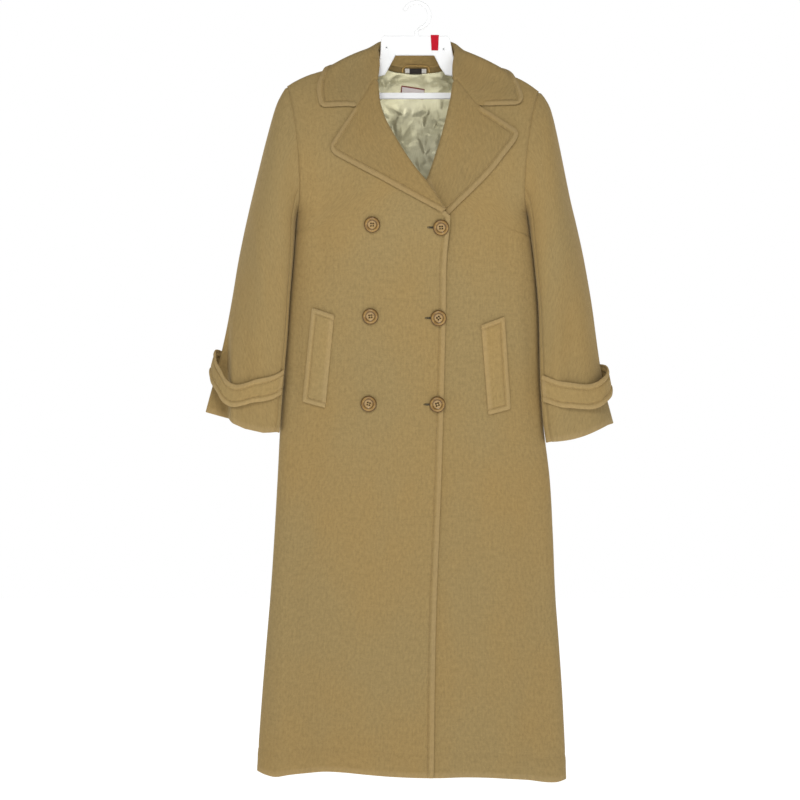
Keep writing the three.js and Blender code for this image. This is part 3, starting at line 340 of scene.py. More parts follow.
def on_cloth(tree, scale, source=None):
    """Coordinates on the flat cloth, in repeats a metre across and along it."""
    flat = source or add_node(tree, "ShaderNodeUVMap", uv_map="cloth").outputs["UV"]
    return add_node(tree, "ShaderNodeMapping", {"Vector": flat, "Scale": (*scale, 1)}).outputs["Vector"]


def noise(tree, vector, detail=2, roughness=0.5, scale=1):
    """Soft random values between 0 and 1."""
    inputs = {"Vector": vector, "Scale": scale, "Detail": detail, "Roughness": roughness}
    return add_node(tree, "ShaderNodeTexNoise", inputs).outputs["Fac"]


def range_of(tree, value, low, high, to_low=0, to_high=1):
    """The value moved from one range to another, and held within it."""
    inputs = {"Value": value, "From Min": low, "From Max": high, "To Min": to_low, "To Max": to_high}
    return add_node(tree, "ShaderNodeMapRange", inputs).outputs["Result"]


def mixed(tree, share, a, b, blend="MIX"):
    """Two colours mixed by a share, which is a number or another node's output."""
    node = tree.nodes.new("ShaderNodeMix")
    node.data_type, node.blend_type = "RGBA", blend
    for slot, value in ((0, share), (6, a), (7, b)):
        if isinstance(value, bpy.types.NodeSocket):
            tree.links.new(value, node.inputs[slot])
        else:
            node.inputs[slot].default_value = value
    return node.outputs[2]


def maths(tree, operation, *values):
    """The result of one sum on numbers or other nodes' outputs."""
    return add_node(tree, "ShaderNodeMath", dict(enumerate(values)), operation=operation).outputs[0]


def sums(tree, *terms):
    """The sum of several outputs, each times a number."""
    total = 0.0
    for value, times in terms:
        total = maths(tree, "MULTIPLY_ADD", value, times, total)
    return total


def toned(tree, ground, tone):
    """A colour made lighter or darker by another node's output."""
    grey = add_node(tree, "ShaderNodeCombineColor", {"Red": tone, "Green": tone, "Blue": tone})
    return mixed(tree, 1.0, ground, grey.outputs["Color"], "MULTIPLY")


def emboss(tree, shader, height, strength, depth):
    """Gives the surface a fine relief, at most depth millimetres deep."""
    inputs = {"Height": height, "Strength": strength, "Distance": depth * MM}
    tree.links.new(add_node(tree, "ShaderNodeBump", inputs).outputs["Normal"], shader.inputs["Normal"])


def set_surface(shader, levels):
    """Sets the shader's own levels, by name."""
    for name, level in levels.items():
        shader.inputs[name].default_value = level


def colour(red, green, blue):
    """A colour from display values of 0 to 255."""
    levels = [value / 255 for value in (red, green, blue)]
    return (*[v / 12.92 if v < 0.04 else ((v + 0.055) / 1.055) ** 2.4 for v in levels], 1)


def make_wool(name, strength):
    """Brushed camel coating: a short nap laid downwards, faint streaks of yarn both ways, and cloudy dye.

    strength is how light this piece looks beside the rest: painted light and shade, set one piece at a time.
    """
    material, tree, shader = nodes_of(name)
    clouds = noise(tree, on_cloth(tree, (7, 4)), 3)
    warp = noise(tree, on_cloth(tree, (420, 34)), 3, 0.6)
    weft = noise(tree, on_cloth(tree, (36, 380)), 3, 0.6)
    nap = noise(tree, on_cloth(tree, (1500, 620)), 3, 0.7)
    tufts = noise(tree, on_cloth(tree, (210, 130)), 4, 0.65)
    ground = mixed(tree, range_of(tree, clouds, 0.36, 0.66), colour(148, 127, 84), colour(152, 127, 80))
    depth = sums(tree, (warp, 0.14), (weft, 0.10), (nap, 0.34), (tufts, 0.42))
    body = toned(tree, ground, range_of(tree, depth, 0.36, 0.64, 0.79 * strength, 1.19 * strength))
    # Here and there a fibre of pale lint lies on the cloth.
    lint = add_node(tree, "ShaderNodeTexVoronoi", {"Vector": on_cloth(tree, (60, 60)), "Scale": 1.0})
    is_lint = range_of(tree, lint.outputs["Distance"], 0.035, 0.02)
    chosen = add_node(tree, "ShaderNodeSeparateColor", {"Color": lint.outputs["Color"]}).outputs["Red"]
    fluff = maths(tree, "MULTIPLY", is_lint, range_of(tree, chosen, 0.975, 0.98))
    # The rolled edges are painted paler: partly rubbed by wear, partly a painted highlight where the roll
    # catches the light.
    wear_and_highlight = add_node(tree, "ShaderNodeAttribute", attribute_name="wear_and_highlight").outputs["Fac"]
    body = mixed(tree, range_of(tree, wear_and_highlight, 0, 1, 0, 0.17), body, colour(192, 166, 124))
    tree.links.new(mixed(tree, fluff, body, colour(226, 205, 160)), shader.inputs["Base Color"])
    emboss(tree, shader, sums(tree, (nap, 0.7), (tufts, 0.9), (warp, 0.15), (weft, 0.12)), 0.55, 0.9)
    set_surface(shader, {"Roughness": 0.92, "Specular IOR Level": 0.2, "Sheen Weight": 0.3,
                         "Sheen Roughness": 0.45, "Sheen Tint": colour(235, 214, 170)})
    return material


def tuck_seams(points, turn, sides, depth=1.8, width=3.2):
    """Draws the cloth in along its seams, where it turns under into the seam allowance.

    sides says how much, from 0 to 1, for the first and last columns and rows.
    """
    sunk = np.zeros(points.shape[:2])
    for share, distance in zip(sides, from_edges(points)):
        sunk = np.maximum(sunk, share * bump(distance, width))
    return points - normals_of(points, turn) * (sunk * depth * MM)[..., None]


def press_hem(points, turn, height=40, depth=0.7):
    """The faint line where the top of the turned-up hem shows through, and the hem's own fuller edge.

    The hem is at the grid's first row, and height is how far it is turned up.
    """
    below_top = from_edges(points)[2] - height
    mark = bump(below_top, 3.5) - 0.8 * bump(below_top + 9, 8)
    return points - normals_of(points, turn) * (mark * depth * MM)[..., None]


def hang_folds(points, turn, folds):
    """Soft troughs that the cloth hangs in, or ridges where the depth is below 0.

    Each fold is a depth, a width and the places that it runs through from the top down, in millimetres: x, z,
    and how deep it is there, from 0 to 1.
    """
    x, z = points[..., 0] / MM, points[..., 2] / MM
    sunk = np.zeros_like(x)
    for depth, width, route in folds:
        across, down, share = np.array(route[::-1], float).T
        sunk += depth * np.interp(z, down, share) * bump(x - np.interp(z, down, across), width)
    return points - normals_of(points, turn) * (sunk * MM)[..., None]


seam_steps = (0, 1, 2, 3.5, 5.5, 8)
hem_steps = (0, 2, 5, 10, 18, 28, 36, 40, 44, 50)
wool = make_wool("camel_wool", 1.0)
back_grid, back_turn = cut_piece("back", REAR, DOWN, RIGHT, rows=27)
back_points = lay_out(back_grid, stations(86, seam_steps, seam_steps), stations(170, hem_steps, seam_steps))
back_points = press_hem(back_points, back_turn)
back_points = hang_folds(back_points, back_turn, (
    (3.5, 30, ((-96, -420, 0), (-104, -640, 1), (-118, -1000, 1), (-130, -1300, 0.8))),
    (-3.0, 34, ((-40, -480, 0), (-44, -700, 1), (-52, -1050, 1), (-58, -1300, 0.7))),
    (4.0, 28, ((12, -380, 0), (10, -640, 1), (6, -1000, 1), (0, -1300, 0.8))),
    (-2.6, 32, ((74, -480, 0), (84, -700, 1), (96, -1050, 1), (104, -1300, 0.7))),
    (3.2, 26, ((128, -430, 0), (140, -660, 1), (156, -1000, 1), (168, -1300, 0.8)))))
# The neck seam lies flat, inside the collar.
at_shoulders = ramp(np.abs(back_points[-1, :, 0]), 60 * MM, 80 * MM)
back_points = tuck_seams(back_points, back_turn, (1, 1, 0, at_shoulders))
back = sew_shell("coat_back", back_points, back_turn, wool, free=(False, False, True, False))
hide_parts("back")

# ---------------------------------------------------------------- fronts
# Two fronts of the same coating. The right one laps 150 mm over the left, its free edge bagged out over a
# facing and topstitched 10 mm in. Both are sewn into the side seams, the armholes and the shoulders.
STITCH_LINE = 10  # millimetres from a bagged-out edge to its topstitching
edge_steps = (0, 0.7, 1.6, 2.8, 4.2, 5.6, 7, 8.2, 9, 9.5, STITCH_LINE, 10.5, 11, 11.8, 13.5, 17, 22)
at_stitches = edge_steps.index(STITCH_LINE)


def topstitch(points, turn, sides, line=STITCH_LINE, depth=1.3, fullness=0.8, only=None):
    """The groove that a row of topstitching pulls into thick cloth, and the fuller roll of cloth outside it.

    sides says which of the first and last columns and rows are stitched. only, where given, is a grid of extra
    distances that keeps the line away from the part of an edge that is sewn to something else.
    """
    distances = [d if only is None else d + only[k] for k, d in enumerate(from_edges(points)) if sides[k]]
    nearest = np.minimum.reduce(distances)
    inside = np.clip(nearest / line, 0, 1)
    height = fullness * np.sin(math.pi * inside) - depth * bump(nearest - line, 1.5)
    return points + normals_of(points, turn) * (height * MM)[..., None]


def thread_finish(name, pale, dark):
    """Twisted polyester sewing thread, a little glossier than the wool."""
    material, tree, shader = nodes_of(name)
    place = add_node(tree, "ShaderNodeTexCoord").outputs["Object"]
    inputs = {"Vector": place, "Scale": 900.0, "Distortion": 1.5}
    twist = add_node(tree, "ShaderNodeTexWave", inputs).outputs["Fac"]
    tree.links.new(mixed(tree, twist, dark, pale), shader.inputs["Base Color"])
    emboss(tree, shader, twist, 0.4, 0.1)
    set_surface(shader, {"Roughness": 0.6, "Sheen Weight": 0.2})
    return material


def bar_of_thread(start, end, up, radius, rise, sides=5):
    """Vertices and faces of one stitch, which comes up out of the cloth at one end and goes down at the other.

    radius is the thread's, rise is how far the stitch stands above its ends, and up is away from the cloth.
    """
    along = end - start
    length = np.linalg.norm(along)
    along = along / length
    cross = np.cross(along, up)
    cross /= np.linalg.norm(cross)
    up = np.cross(cross, along)
    vertices = []
    for share, swell in ((0, 0.55), (0.22, 1), (0.78, 1), (1, 0.55)):
        middle = start + along * length * share + up * rise * (math.sin(math.pi * share) * 1.4 - 0.55)
        for k in range(sides):
            angle = 2 * math.pi * k / sides
            vertices.append(middle + (cross * math.cos(angle) + up * math.sin(angle)) * radius * swell)
    faces = [tuple(range(sides)), tuple(reversed(range(3 * sides, 4 * sides)))]
    for ring in range(3):
        for k in range(sides):
            a, b = ring * sides + k, ring * sides + (k + 1) % sides
            faces.append((a, a + sides, b + sides, b))
    return vertices, faces


def joined(parts):
    """The vertices and faces of several parts as those of one mesh."""
    vertices, faces = [], []
    for some, around in parts:
        faces += [tuple(i + len(vertices) for i in face) for face in around]
        vertices += some
    return vertices, faces


def sew_along(name, paths, pitch=3.5, length=2.5, radius=0.3):
    """A row of stitches along each path, which is a list of points and normals on the finished cloth."""
    stitches = []
    for points, ups in paths:
        run = np.concatenate([[0], np.cumsum(np.linalg.norm(np.diff(points, axis=0), axis=1))]) / MM
        for k in range(int((run[-1] - length) / pitch)):
            ends = [np.array([np.interp(at, run, points[:, axis]) for axis in range(3)])
                    for at in (1 + k * pitch, 1 + k * pitch + length)]
            up = np.array([np.interp(1 + k * pitch, run, ups[:, axis]) for axis in range(3)])
            stitches.append(bar_of_thread(*ends, up, radius * MM, radius * 1.1 * MM))
    add_piece(name, net(name, *joined(stitches)), camel_thread)


camel_thread = thread_finish("camel_thread", colour(168, 142, 94), colour(124, 98, 58))
# In millimetres: how deep and wide each fold is, and the places that it runs through.
front_folds = {
    "right": ((3.0, 13, ((-160, -300, 0), (-163, -400, 1), (-150, -500, 0))),
              (2.4, 9, ((-196, -400, 0), (-201, -560, 1), (-206, -720, 0.7), (-214, -800, 0))),
              (2.6, 15, ((-205, -860, 0), (-214, -1000, 1), (-206, -1200, 1), (-202, -1300, 0.6))),
              (1.8, 26, ((-120, -760, 0), (-128, -950, 1), (-140, -1200, 1), (-146, -1300, 0.8))),
              (-1.8, 24, ((-172, -760, 0), (-178, -960, 1), (-178, -1200, 1), (-176, -1300, 0.8))),
              (1.6, 30, ((-40, -740, 0), (-44, -900, 1), (-52, -1150, 1), (-58, -1300, 0.8))),
              (-1.6, 18, ((-84, -420, 0), (-80, -480, 1), (-86, -560, 0)))),
    "left": ((2.6, 12, ((150, -300, 0), (152, -400, 1), (160, -500, 0))),
             (2.4, 9, ((183, -420, 0), (192, -560, 1), (198, -700, 0.6), (204, -780, 0))),
             (2.2, 20, ((96, -720, 0), (104, -900, 1), (112, -1180, 1), (118, -1300, 0.7))),
             (-1.8, 26, ((150, -740, 0), (160, -950, 1), (170, -1200, 1), (176, -1300, 0.8))),
             (2.4, 14, ((196, -860, 0), (210, -1000, 1), (222, -1200, 1), (228, -1300, 0.5)))),
}
fronts = {}
for side, flat, area in (("right", (0.327, 1.286), 0.335), ("left", (0.373, 1.300), 0.367)):
    outside = RIGHT if side == "right" else LEFT
    grid, turn = cut_piece(f"front_{side}", FRONT, DOWN, outside, rows=27)
    points = lay_out(grid, stations(56, seam_steps, edge_steps), stations(206, hem_steps, seam_steps))
    points = hang_folds(points, turn, front_folds[side])
    points = press_hem(points, turn)
    # The armhole seam pulls in further than the side seam below it.
    seam_pull = 1 + 0.8 * ramp(points[..., 2], -0.37, -0.33)
    points = tuck_seams(points, turn, (seam_pull, 0, 0, 1))
    points = topstitch(points, turn, (0, 1, 0, 0))
    front = sew_shell(f"coat_front_{side}", points, turn, wool, free=(False, True, True, False),
                      shift=(1.3 if side == "right" else 2.9, 0.4))
    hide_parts(f"front_{side}")
    fronts[side] = (points, turn)

right_points, right_turn = fronts["right"]
stitched = np.s_[2:150, -1 - at_stitches]  # up to the bottom of the lapel
sew_along("front_edge_stitching", [(right_points[stitched], normals_of(right_points, right_turn)[stitched])])

# ---------------------------------------------------------------- sleeves
# Two-piece sleeves, set into the armholes with a little fullness: an upper and an under piece, joined by
# a forearm seam at the front and an elbow seam behind. Their cuffs are plain, with the edge turned up inside.


def reach_to_side(grids, sign, pick):
    """How far these grids come to one side at each height: at most with np.argmax, at least with np.argmin."""
    found = []
    for grid in grids:
        place = pick(grid[..., 0] * sign, axis=1)
        found.append(np.take_along_axis(grid, place[:, None, None], 1)[:, 0])
    return [rows[np.argsort(rows[:, 2])] for rows in found]


def at_heights(found, sign, heights, pick):
    """How far out the found edges lie at these heights: the least with np.min, the most with np.max."""
    return pick([np.interp(heights, rows[:, 2], rows[:, 0] * sign) for rows in found], axis=0)


def lean_on_body(points, sign, heights, inner, push):
    """Lets the inner side of a sleeve hang against the body. push is how far it stands off at each height."""
    off = np.clip(points[..., 0] * sign - np.interp(points[..., 2], heights, inner), 0, None)
    points = points.copy()
    points[..., 0] -= sign * np.interp(points[..., 2], heights, push) * bump(off, 13 * MM)
    return points


def lay_in_creases(points, side):
    """The creases that each sleeve has from lying folded, and the way its cuff hangs.

    The right sleeve has a sharp crease near its outer side, beyond which the cloth lies back on the rear half.
    The left one has a soft ridge and a dent. Both cuffs hang lowest in the middle of their front half.
    """
    x, y, z = points[..., 0] / MM, points[..., 1] / MM, points[..., 2] / MM
    in_front = ramp(-y, 0, 9)
    at_cuff = ramp(80 - from_edges(points)[3], 0, 80)
    points = points.copy()
    if side == "right":
        grown = ramp(-z, 490, 600)
        beyond = ramp(-316 - x, -1, 6) * grown
        y = np.where(y < 14, y + (14 - y) * 0.9 * beyond, y)
        y -= 3.6 * bump(x + 312, 5) * grown * in_front
        y += 3.6 * bump(x + 290 + 0.05 * (z + 560), 11) * bump(z + 570, 90) * in_front
        y -= 3.0 * bump(x + 262 + 0.1 * (z + 480), 9) * bump(z + 470, 110) * in_front
        drop = 9 * np.interp((x + 316) / 80, (-0.05, 0.02, 0.3, 0.7, 1), (0, 0.55, 1, 0.8, 0))
    else:
        y -= 4.0 * bump(x - 238, 9) * bump(z + 585, 105) * in_front
        y += 5.0 * bump(x - 263, 14) * bump(z + 575, 80) * in_front
        y += 2.4 * bump(x - 232 + 0.12 * (z + 420), 10) * bump(z + 400, 80) * in_front
        drop = 7 * np.sin(math.pi * np.clip((x - 224) / 102, 0, 1))
    points[..., 1] = y * MM
    points[..., 2] -= drop * at_cuff * in_front * MM
    return points


for side in ("right", "left"):
    outside, inside, sign = (RIGHT, LEFT, -1) if side == "right" else (LEFT, RIGHT, 1)
    laid = {}
    for part, faces, count in (("upper", outside, 60), ("under", inside, 36)):
        grid, turn = cut_piece(f"sleeve_{part}_{side}", faces, UP, FRONT, rows=18)
        across, along = stations(count, seam_steps, seam_steps), stations(104, seam_steps, hem_steps)
        laid[part] = lay_out(grid, across, along), turn
    heights = np.linspace(-0.72, -0.34, 77)
    inner_edges = reach_to_side([points for points, turn in laid.values()], sign, np.argmin)
    inner = at_heights(inner_edges, sign, heights, np.min)
    body_edges = reach_to_side([fronts[side][0], back_points], sign, np.argmax)
    body = at_heights(body_edges, sign, heights, np.max)
    stands_off = np.clip(inner - body + 0.6 * MM, 0, 8 * MM)
    push = np.convolve(np.pad(stands_off, 3, mode="edge"), np.ones(7) / 7, mode="valid")
    for part, flat, area, count in (("upper", (0.306, 0.576), 0.101, 60),
                                    ("under", (0.205, 0.483), 0.0404, 36)):
        points, turn = laid[part]
        points = lay_in_creases(lean_on_body(points, sign, heights, inner, push), side)
        points = tuck_seams(points, turn, (1, 1, 1.8, 0))
        sleeve = sew_shell(f"coat_sleeve_{part}_{side}", points, turn, wool, free=(False, False, False, True),
                           shift=(4.1 + count / 30, 0.7 if side == "right" else 3.1))
        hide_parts(f"sleeve_{part}_{side}")

# ---------------------------------------------------------------- collar
# A wide turned-down collar: a double layer with a pressed roll, bagged out and topstitched 10 mm in. Inside
# the back of the neck the same cloth makes the stand, which is sewn between the back and the collar.


def round_corner(points, row, column, radius):
    """Turns the square corner of a bagged-out piece into a round one. row and column are 0 or -1."""
    distances = from_edges(points)
    inward = np.gradient(points, axis=1) * (1 if column == 0 else -1)
    onward = np.gradient(points, axis=0) * (1 if row == 0 else -1)
    short_column = np.clip(radius - distances[0 if column == 0 else 1], 0, None)
    short_row = np.clip(radius - distances[2 if row == 0 else 3], 0, None)
    far, most = np.hypot(short_column, short_row), np.maximum(short_column, short_row)
    keep = np.where(far > 0, most / np.maximum(far, 1e-9), 1)
    keep = np.where((short_column > 0) & (short_row > 0), keep, 1)
    for way, short in ((inward, short_column), (onward, short_row)):
        way = way / np.linalg.norm(way, axis=2, keepdims=True)
        points = points + way * (short * (1 - keep) * MM)[..., None]
    return points


GORGE = {"depth": 1.4, "width": 2.6}  # millimetres that the seam of collar and lapels pulls in
NOTCH_EDGE = 62  # millimetres of the collar's short edges that are free, from the tip to the notch
FAR_OFF = 1000  # an extra distance that takes an edge out of reach
collar_grid, collar_turn = cut_piece("collar", UP, RIGHT, UP, rows=29)
collar_points = lay_out(collar_grid, stations(44, (0, 1.5), edge_steps), stations(150, edge_steps, edge_steps))
sewn_on = ramp(from_edges(collar_points)[1], NOTCH_EDGE - 2, NOTCH_EDGE + 2)
collar_only = [0, 0, FAR_OFF * sewn_on, FAR_OFF * sewn_on]
collar_points = topstitch(collar_points, collar_turn, (0, 1, 1, 1), only=collar_only)
collar_points = tuck_seams(collar_points, collar_turn, (0, 0, sewn_on, sewn_on), **GORGE)
for end in (0, -1):
    collar_points = round_corner(collar_points, end, -1, 7)
shaded_facing_wool = make_wool("camel_wool_facing_painted_shade", 0.9)  # painted shade: a darker copy of the wool for the collar and lapels, which sit high in the light
collar = sew_shell("coat_collar", collar_points, collar_turn, shaded_facing_wool, free=(False, True, True, True),
                   shift=(6.3, 1.1), only=collar_only)
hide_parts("collar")


def stitch_paths(points, turn, column, rows, notch):
    """Paths of the topstitching: along one column near the outer edge, and along rows near the short edges.

    notch is the length in millimetres of the short edges that is stitched, from the outer edge inwards.
    """
    normals = normals_of(points, turn)
    far = points.shape[0] - 1 - at_stitches if -1 in rows else points.shape[0] - 3
    near = at_stitches if 0 in rows else 2
    paths = [(points[near:far + 1, column], normals[near:far + 1, column])]
    reach = from_edges(points)[1]
    for row in rows:
        at = at_stitches if row == 0 else -1 - at_stitches
        kept = (reach[at] < notch - 2) & (reach[at] > STITCH_LINE)
        paths.append((points[at][kept], normals[at][kept]))
    return paths


collar_paths = stitch_paths(collar_points, collar_turn, -1 - at_stitches, (0, -1), NOTCH_EDGE)
sew_along("collar_stitching", collar_paths)

lit_stand_wool = make_wool("camel_wool_stand_painted_light", 1.62)  # painted light: a much lighter copy of the wool, to lift the stand out of the shade of the hanger's plate
stand_grid, stand_turn = cut_piece("collar_stand", FRONT, RIGHT, UP, rows=23)
stand_points = lay_out(stand_grid, stations(12, (0, 1), (0, 1)), stations(80))
# Its lower edge lies over the neck seam of the back.
over_seam = ramp(72 * MM - np.abs(stand_points[:, -1, 0]), 0, 14 * MM)
stand_points[:, -1] += over_seam[:, None] * np.array((0, -0.7, -3.2)) * MM
stand_points = tuck_seams(stand_points, stand_turn, (1, 0, 0, 0), depth=0.8, width=1.6)
stand = sew_shell("coat_collar_stand", stand_points, stand_turn, lit_stand_wool, free=(False,) * 4,
                  shift=(7.7, 0.2))
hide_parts("collar_stand")

# ---------------------------------------------------------------- lapels
# The tops of the fronts turn back at their roll lines and show their facings as wide lapels, whose edges run
# from the top button up to a blunt point. They are bagged out and topstitched, and the gorge seam joins them
# to the collar.
for side, notch, flat, area, away in (("right", 82, (0.172, 0.263), 0.0216, LEFT),
                                      ("left", 79, (0.172, 0.199), 0.0229, RIGHT)):
    grid, turn = cut_piece(f"lapel_{side}", FRONT, DOWN, away, rows=13)
    points = lay_out(grid, stations(52, (0, 1.5), edge_steps), stations(78, (0, 1.5, 4), edge_steps))
    sewn_on = ramp(from_edges(points)[1], notch - 2, notch + 2)
    lapel_only = [0, 0, 0, FAR_OFF * sewn_on]
    points = topstitch(points, turn, (0, 1, 0, 1), only=lapel_only)
    points = tuck_seams(points, turn, (0, 0, 0, sewn_on), **GORGE)
    points = round_corner(points, -1, -1, 8)
    lapel = sew_shell(f"coat_lapel_{side}", points, turn, shaded_facing_wool, free=(False, True, True, True),
                      shift=(8.3 if side == "right" else 9.1, 0.5), only=lapel_only)
    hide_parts(f"lapel_{side}")
    sew_along(f"lapel_stitching_{side}", stitch_paths(points, turn, -1 - at_stitches, (-1,), notch))

# ---------------------------------------------------------------- pocket welts
# Slanted welts of doubled coating, set over the openings of the side pockets. Their long outer edge and both
# ends are stitched down to the front, and the inner edge is sewn in with the pocket bag.
WELT_LINE = 8.1  # millimetres from the edge to the stitching
welt_steps = (0, 0.7, 1.6, 2.8, 4.2, 5.6, 6.8, 7.6, WELT_LINE, 8.6, 9.1, 9.8, 11.5, 14)
at_welt_line = welt_steps.index(WELT_LINE)
lit_trim_wool = make_wool("camel_wool_trim_painted_light", 1.08)  # painted light: a slightly lighter copy of the wool for the welts and straps
for side in ("right", "left"):
    outside = RIGHT if side == "right" else LEFT
    grid, turn = cut_piece(f"welt_{side}", FRONT, DOWN, outside, rows=7)
    across = stations(9, welt_steps, (0, 0.7, 1.6, 2.8, 4.2))
    points = lay_out(grid, across, stations(44, welt_steps, welt_steps))
    points = topstitch(points, turn, (1, 0, 1, 1), line=WELT_LINE, depth=1.3, fullness=1.0)
    points = tuck_seams(points, turn, (0, 0.5, 0, 0), depth=1.0, width=2.2)
    for end in (0, -1):
        points = round_corner(points, end, 0, 2.5)
    welt = sew_shell(f"coat_welt_{side}", points, turn, lit_trim_wool,
                     shift=(10.1, 0.3 if side == "right" else 0.8))
    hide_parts(f"welt_{side}")
    normals = normals_of(points, turn)
    lines = [np.s_[at_welt_line:-at_welt_line, at_welt_line], np.s_[at_welt_line, at_welt_line:-2],
             np.s_[-1 - at_welt_line, at_welt_line:-2]]
    sew_along(f"welt_stitching_{side}", [(points[line], normals[line]) for line in lines])

# ---------------------------------------------------------------- cuff straps
# A strap of doubled coating round the outer side of each cuff, caught in both sleeve seams and longer than the
# sleeve is wide, so that it droops and stands off at the outer side. It is topstitched near both edges.
STRAP_LINE = 9  # millimetres from the edge to the stitching
strap_steps = (0, 0.7, 1.6, 2.8, 4.2, 5.6, 7, 8, 8.5, STRAP_LINE, 9.5, 10, 11, 13)
at_strap_line = strap_steps.index(STRAP_LINE)
for side in ("right", "left"):
    outside = RIGHT if side == "right" else LEFT
    grid, turn = cut_piece(f"cuff_strap_{side}", outside, DOWN, FRONT, rows=4)
    points = lay_out(grid, stations(110, (0, 1.5), (0, 1.5)), stations(8, strap_steps, strap_steps))
    points = topstitch(points, turn, (0, 0, 1, 1), line=STRAP_LINE, depth=1.2, fullness=0.9)
    strap = sew_shell(f"coat_cuff_strap_{side}", points, turn, lit_trim_wool,
                      shift=(11.1, 0.3 if side == "right" else 0.8))
    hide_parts(f"cuff_strap_{side}")
    normals = normals_of(points, turn)
    lines = [np.s_[at_strap_line, 2:-2], np.s_[-1 - at_strap_line, 2:-2]]
    sew_along(f"strap_stitching_{side}", [(points[line], normals[line]) for line in lines])

# ---------------------------------------------------------------- buttons
# Six 44 ligne buttons of cast resin made to look like pale horn: a rolled rim, a groove and a dished middle
# with four holes. Each is sewn on close to the cloth by two bars of thread, and those by the edge have worked
# buttonholes.

# Radius and height in millimetres, from the edge of the flat middle round the rim to the flat underside.
button_profile = ((5.4, 2.35), (6.2, 2.45), (6.9, 2.75), (7.4, 3.0), (7.8, 2.95), (8.2, 3.1), (8.7, 3.75),
                  (9.4, 4.35), (10.2, 4.6), (11.1, 4.45), (11.9, 4.0), (12.5, 3.3), (12.9, 2.9), (13.3, 2.6),
                  (13.6, 2.1), (13.4, 1.5), (12.6, 0.95), (11, 0.6), (8, 0.5), (5.4, 0.45))
HOLE_RADIUS, HOLE_OFFSET = 1.5, 1.95  # HOLE_OFFSET is across and up from the button's middle


def horn_resin():
    """Cast resin with soft amber swirls, clear and glossy on the rim, brushed in the middle. Painted shade
    darkens the rim's outer edge, the groove and the four holes, and a painted highlight makes the dished
    middle paler.
    """
    material, tree, shader = nodes_of("horn_resin")
    place = add_node(tree, "ShaderNodeUVMap", uv_map="face").outputs["UV"]
    swirl = noise(tree, on_cloth(tree, (110, 300), place), 4, 0.6)
    cloud = noise(tree, on_cloth(tree, (70, 50), place), 2)
    amber = mixed(tree, range_of(tree, cloud, 0.35, 0.65), colour(124, 92, 42), colour(154, 120, 62))
    body = mixed(tree, range_of(tree, swirl, 0.5, 0.75, 0, 0.55), amber, colour(194, 162, 100))
    radius = add_node(tree, "ShaderNodeVectorMath", {0: place}, operation="LENGTH").outputs["Value"]
    # Painted shade: the outer edge of the rim, where it turns away from the light, is darker.
    edge = mixed(tree, range_of(tree, radius, 11.3 * MM, 13 * MM), body, colour(84, 58, 26))
    # Painted shade in the groove round the dished middle.
    from_groove = maths(tree, "ABSOLUTE", maths(tree, "SUBTRACT", radius, 7.7 * MM))
    groove_shade = range_of(tree, from_groove, 0.3 * MM, 1.3 * MM, 0.75, 0)
    face = mixed(tree, groove_shade, edge, colour(78, 54, 24))
    quarter = add_node(tree, "ShaderNodeVectorMath", {0: place}, operation="ABSOLUTE").outputs["Vector"]
    inputs = {0: quarter, 1: (HOLE_OFFSET * MM, HOLE_OFFSET * MM, 0)}
    from_hole = add_node(tree, "ShaderNodeVectorMath", inputs, operation="DISTANCE").outputs["Value"]
    # Painted highlight: the dished middle is paler, as where it catches the light.
    dish_with_painted_highlight = mixed(tree, range_of(tree, radius, 6.2 * MM, 7 * MM, 0.25, 0), face, colour(206, 178, 130))
    # Painted shade: the four holes are near black.
    painted_hole_shade = range_of(tree, from_hole, 1.1 * MM, 1.5 * MM, 1, 0)
    tree.links.new(mixed(tree, painted_hole_shade, dish_with_painted_highlight, colour(20, 11, 4)), shader.inputs["Base Color"])
    set_surface(shader, {"Roughness": 0.38, "Specular IOR Level": 0.35, "Coat Weight": 0.2,
                         "Coat Roughness": 0.15})
    return material


def circle(radius, count):
    """Evenly spaced points on a circle about the origin."""
    angles = [2 * math.pi * k / count for k in range(count)]
    return [(radius * math.cos(angle), radius * math.sin(angle)) for angle in angles]


def button_mesh(name):
    """A button about the origin that faces +Z, in millimetres, with its four holes cut through."""
    mesh = bmesh.new()
    around, around_hole = 72, 16
    rings = [[mesh.verts.new((x, y, height)) for x, y in circle(radius, around)]
             for radius, height in button_profile]
    for ring, onward in zip(rings, rings[1:]):
        for k in range(around):
            mesh.faces.new((ring[k], onward[k], onward[(k + 1) % around], ring[(k + 1) % around]))
    holes = []
    for right, up in ((1, 1), (-1, 1), (-1, -1), (1, -1)):
        levels = []
        for height, wider in ((2.25, 1.12), (2.0, 1.0), (0.7, 1.0), (0.45, 1.1)):
            levels.append([mesh.verts.new((right * HOLE_OFFSET + x, up * HOLE_OFFSET + y, height))
                           for x, y in circle(HOLE_RADIUS * wider, around_hole)])
        for level, onward in zip(levels, levels[1:]):
            for k in range(around_hole):
                after = (k + 1) % around_hole
                mesh.faces.new((level[k], level[after], onward[after], onward[k]))
        holes.append(levels)
    mesh.edges.ensure_lookup_table()
    for rim, level in ((rings[0], 0), (rings[-1], -1)):
        loops = [rim] + [levels[level] for levels in holes]
        edges = [mesh.edges.get(ends) for loop in loops for ends in zip(loop, loop[1:] + loop[:1])]
        bmesh.ops.triangle_fill(mesh, edges=edges, use_beauty=True)
    bmesh.ops.recalc_face_normals(mesh, faces=mesh.faces)
    flat = mesh.loops.layers.uv.new("face")
    for face in mesh.faces:
        for loop in face.loops:
            loop[flat].uv = (loop.vert.co.x * MM, loop.vert.co.y * MM)
    data = bpy.data.meshes.new(name)
    mesh.to_mesh(data)
    mesh.free()
    return data


